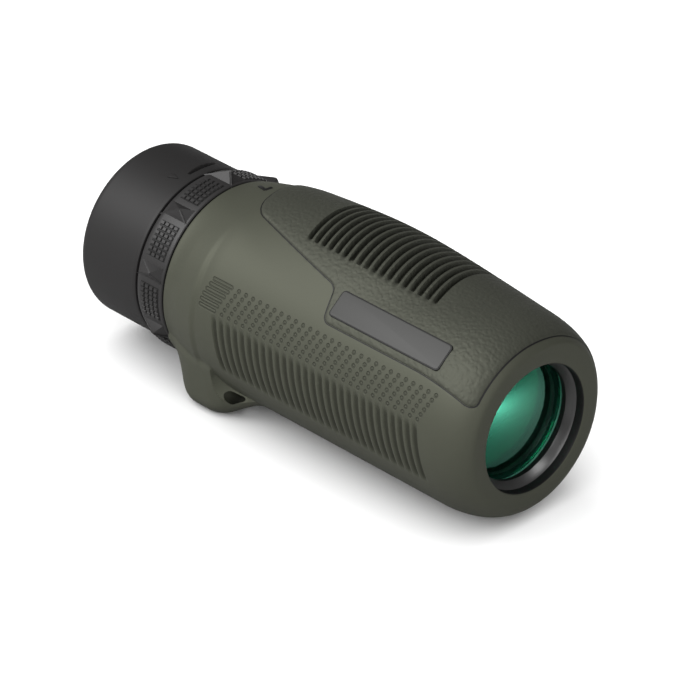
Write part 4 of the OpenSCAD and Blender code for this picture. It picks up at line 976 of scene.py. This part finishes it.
def front_lenses():
    """Cemented front pair with a ground edge, behind the bevelled ring that holds it."""
    crown_back = LENS_SEAT + CROWN_EDGE
    flint_front = crown_back + CEMENT_GAP
    flint_back = flint_front + FLINT_EDGE
    crown = front_lens("crown_glass", front_glass, lens_side(FRONT_CURVE, LENS_SEAT, -1),
                       lens_side(CEMENT_CURVE, crown_back, 1), 1, ["objective_crown_lens"])
    front_lens("flint_glass", inner_glass, lens_side(CEMENT_CURVE, flint_front, 1),
               lens_side(BACK_CURVE, flint_back, -1), -1, ["objective_flint_lens"])
    outer = LENS_R - GROUND_OUTER
    inner = LENS_R - GROUND_INNER
    edge_front = LENS_SEAT + GROUND_INSET
    edge_back = crown_back - GROUND_INSET
    edge = [(outer, edge_front), (outer, edge_back), (inner, edge_back), (inner, edge_front)]
    made_piece(turned_blank(edge, LENS_COLUMNS), "crown_ground_edge", "body", ground_edge)
    bevel = made_piece(turned_blank(BEVEL_PROFILE, LENS_COLUMNS), "front_bevel", "body",
                       anodised_grey, ["objective_retaining_ring"], sharp=30)
    made_piece(turned_blank(STEP_PROFILE, LENS_COLUMNS), "front_step", "body", black_and_gap_shade)
    return bevel, crown


def floor():
    """White floor for the camera that bounces less light than it shows."""
    material, w, shader = new_material("pale_floor")
    seen = w.add("ShaderNodeLightPath").outputs["Is Camera Ray"]
    colour = w.blend(seen, FLOOR_BOUNCE, FLOOR_SEEN)
    w.fill(shader, {"Base Color": colour, "Roughness": 0.9, "Specular IOR Level": 0.1})
    bm = bmesh.new()
    bmesh.ops.create_grid(bm, x_segments=1, y_segments=1, size=6)
    ground = mesh_object(bm, "studio_floor", material)
    ground.location.z = -BARREL_R * MM
    return ground


def soft_light(name, place, aim, size, power):
    lamp = bpy.data.lights.new(name, "AREA")
    lamp.shape = "RECTANGLE"
    lamp.size, lamp.size_y = size
    lamp.energy = power
    lit = bpy.data.objects.new(name, lamp)
    bpy.context.scene.collection.objects.link(lit)
    lit.location = place
    lit.rotation_euler = (Vector(aim) - Vector(place)).to_track_quat("-Z", "Y").to_euler()
    return lit


def faded(card):
    """The card's glow falls off softly from its middle to its edges."""
    card.data.use_nodes = True
    w = Wiring(card.data.node_tree)
    place = w.add("ShaderNodeSeparateXYZ", {0: w.add("ShaderNodeNewGeometry").outputs["Parametric"]}).outputs
    off = w.far(w.maths("SUBTRACT", place[0], 0.5), w.maths("SUBTRACT", place[1], 0.5))
    inward = w.maths("MAXIMUM", w.maths("MULTIPLY_ADD", off, -2.0, 1.0), 0.0)
    w.put(card.data.node_tree.nodes["Emission"].inputs["Strength"], w.maths("POWER", inward, 4.0))


def lighting(ground, bevel, glass):
    """A long soft key that leaves the floor alone, a front and a far fill, a wide lamp for the floor only,
    and two cards that gleam on one piece each."""
    key = soft_light("left_softbox", (-0.30, -0.66, 0.75), (-0.05, 0, 0), (1.4, 0.5), 18.5)
    soft_light("front_softbox", (0.85, -0.20, 0.30), (0, 0, 0), (0.6, 0.6), 3.2)
    far = soft_light("far_softbox", (-0.25, 0.85, 0.20), (-0.05, 0, 0), (0.8, 0.4), 2.2)
    far.visible_glossy = False
    table = soft_light("table_light", (-0.6, -1.3, 1.2), (-0.6, -1.3, 0), (4.0, 4.0), 112.0)
    bevel_card = soft_light("bevel_card", (0.38, 0.08, 0.80), (0, 0, 0), (0.3, 0.3), 2.5)
    lens_card = soft_light("lens_card", (0.046, 0.024, -0.0205), (0.046, 0.024, 1), (0.12, 0.12), 0.32)
    faded(lens_card)
    for lamp, piece, link in ((key, ground, "EXCLUDE"), (table, ground, "INCLUDE"),
                              (bevel_card, bevel, "INCLUDE"), (lens_card, glass, "INCLUDE")):
        lit = bpy.data.collections.new(lamp.name + "_lit")
        lit.objects.link(piece)
        lit.collection_objects[0].light_linking.link_state = link
        lamp.light_linking.receiver_collection = lit
    for card in (bevel_card, lens_card):
        card.visible_camera = False


def surroundings():
    """White behind the object and through its glass, and a low even glow on it."""
    world = bpy.data.worlds.new("studio")
    bpy.context.scene.world = world
    world.use_nodes = True
    w = Wiring(world.node_tree)
    rays = w.add("ShaderNodeLightPath").outputs
    seen = w.maths("MAXIMUM", rays["Is Camera Ray"], rays["Is Transmission Ray"])
    colour = w.blend(seen, WORLD_GLOW, WORLD_SEEN)
    w.fill(world.node_tree.nodes["Background"], {"Color": colour, "Strength": 1.0})


def camera():
    up = CAMERA_BACK.cross(CAMERA_RIGHT)
    made = bpy.data.cameras.new("photo_camera")
    made.lens = CAMERA_LENS
    made.sensor_width = CAMERA_SENSOR
    made.clip_start = 0.05
    made.clip_end = 30
    eye = bpy.data.objects.new("photo_camera", made)
    bpy.context.scene.collection.objects.link(eye)
    eye.location = MM * (CAMERA_FAR * CAMERA_BACK + CAMERA_ASIDE * CAMERA_RIGHT + CAMERA_RAISED * up)
    eye.rotation_euler = Matrix((CAMERA_RIGHT, up, CAMERA_BACK)).transposed().to_euler()
    bpy.context.scene.camera = eye


finish_cad_nodes()
armour()
index_mark()
panel()
plate()
focus_grip()
eyecup()
lighting(floor(), *front_lenses())
surroundings()
camera()

bpy.context.scene.view_settings.view_transform = "Standard"
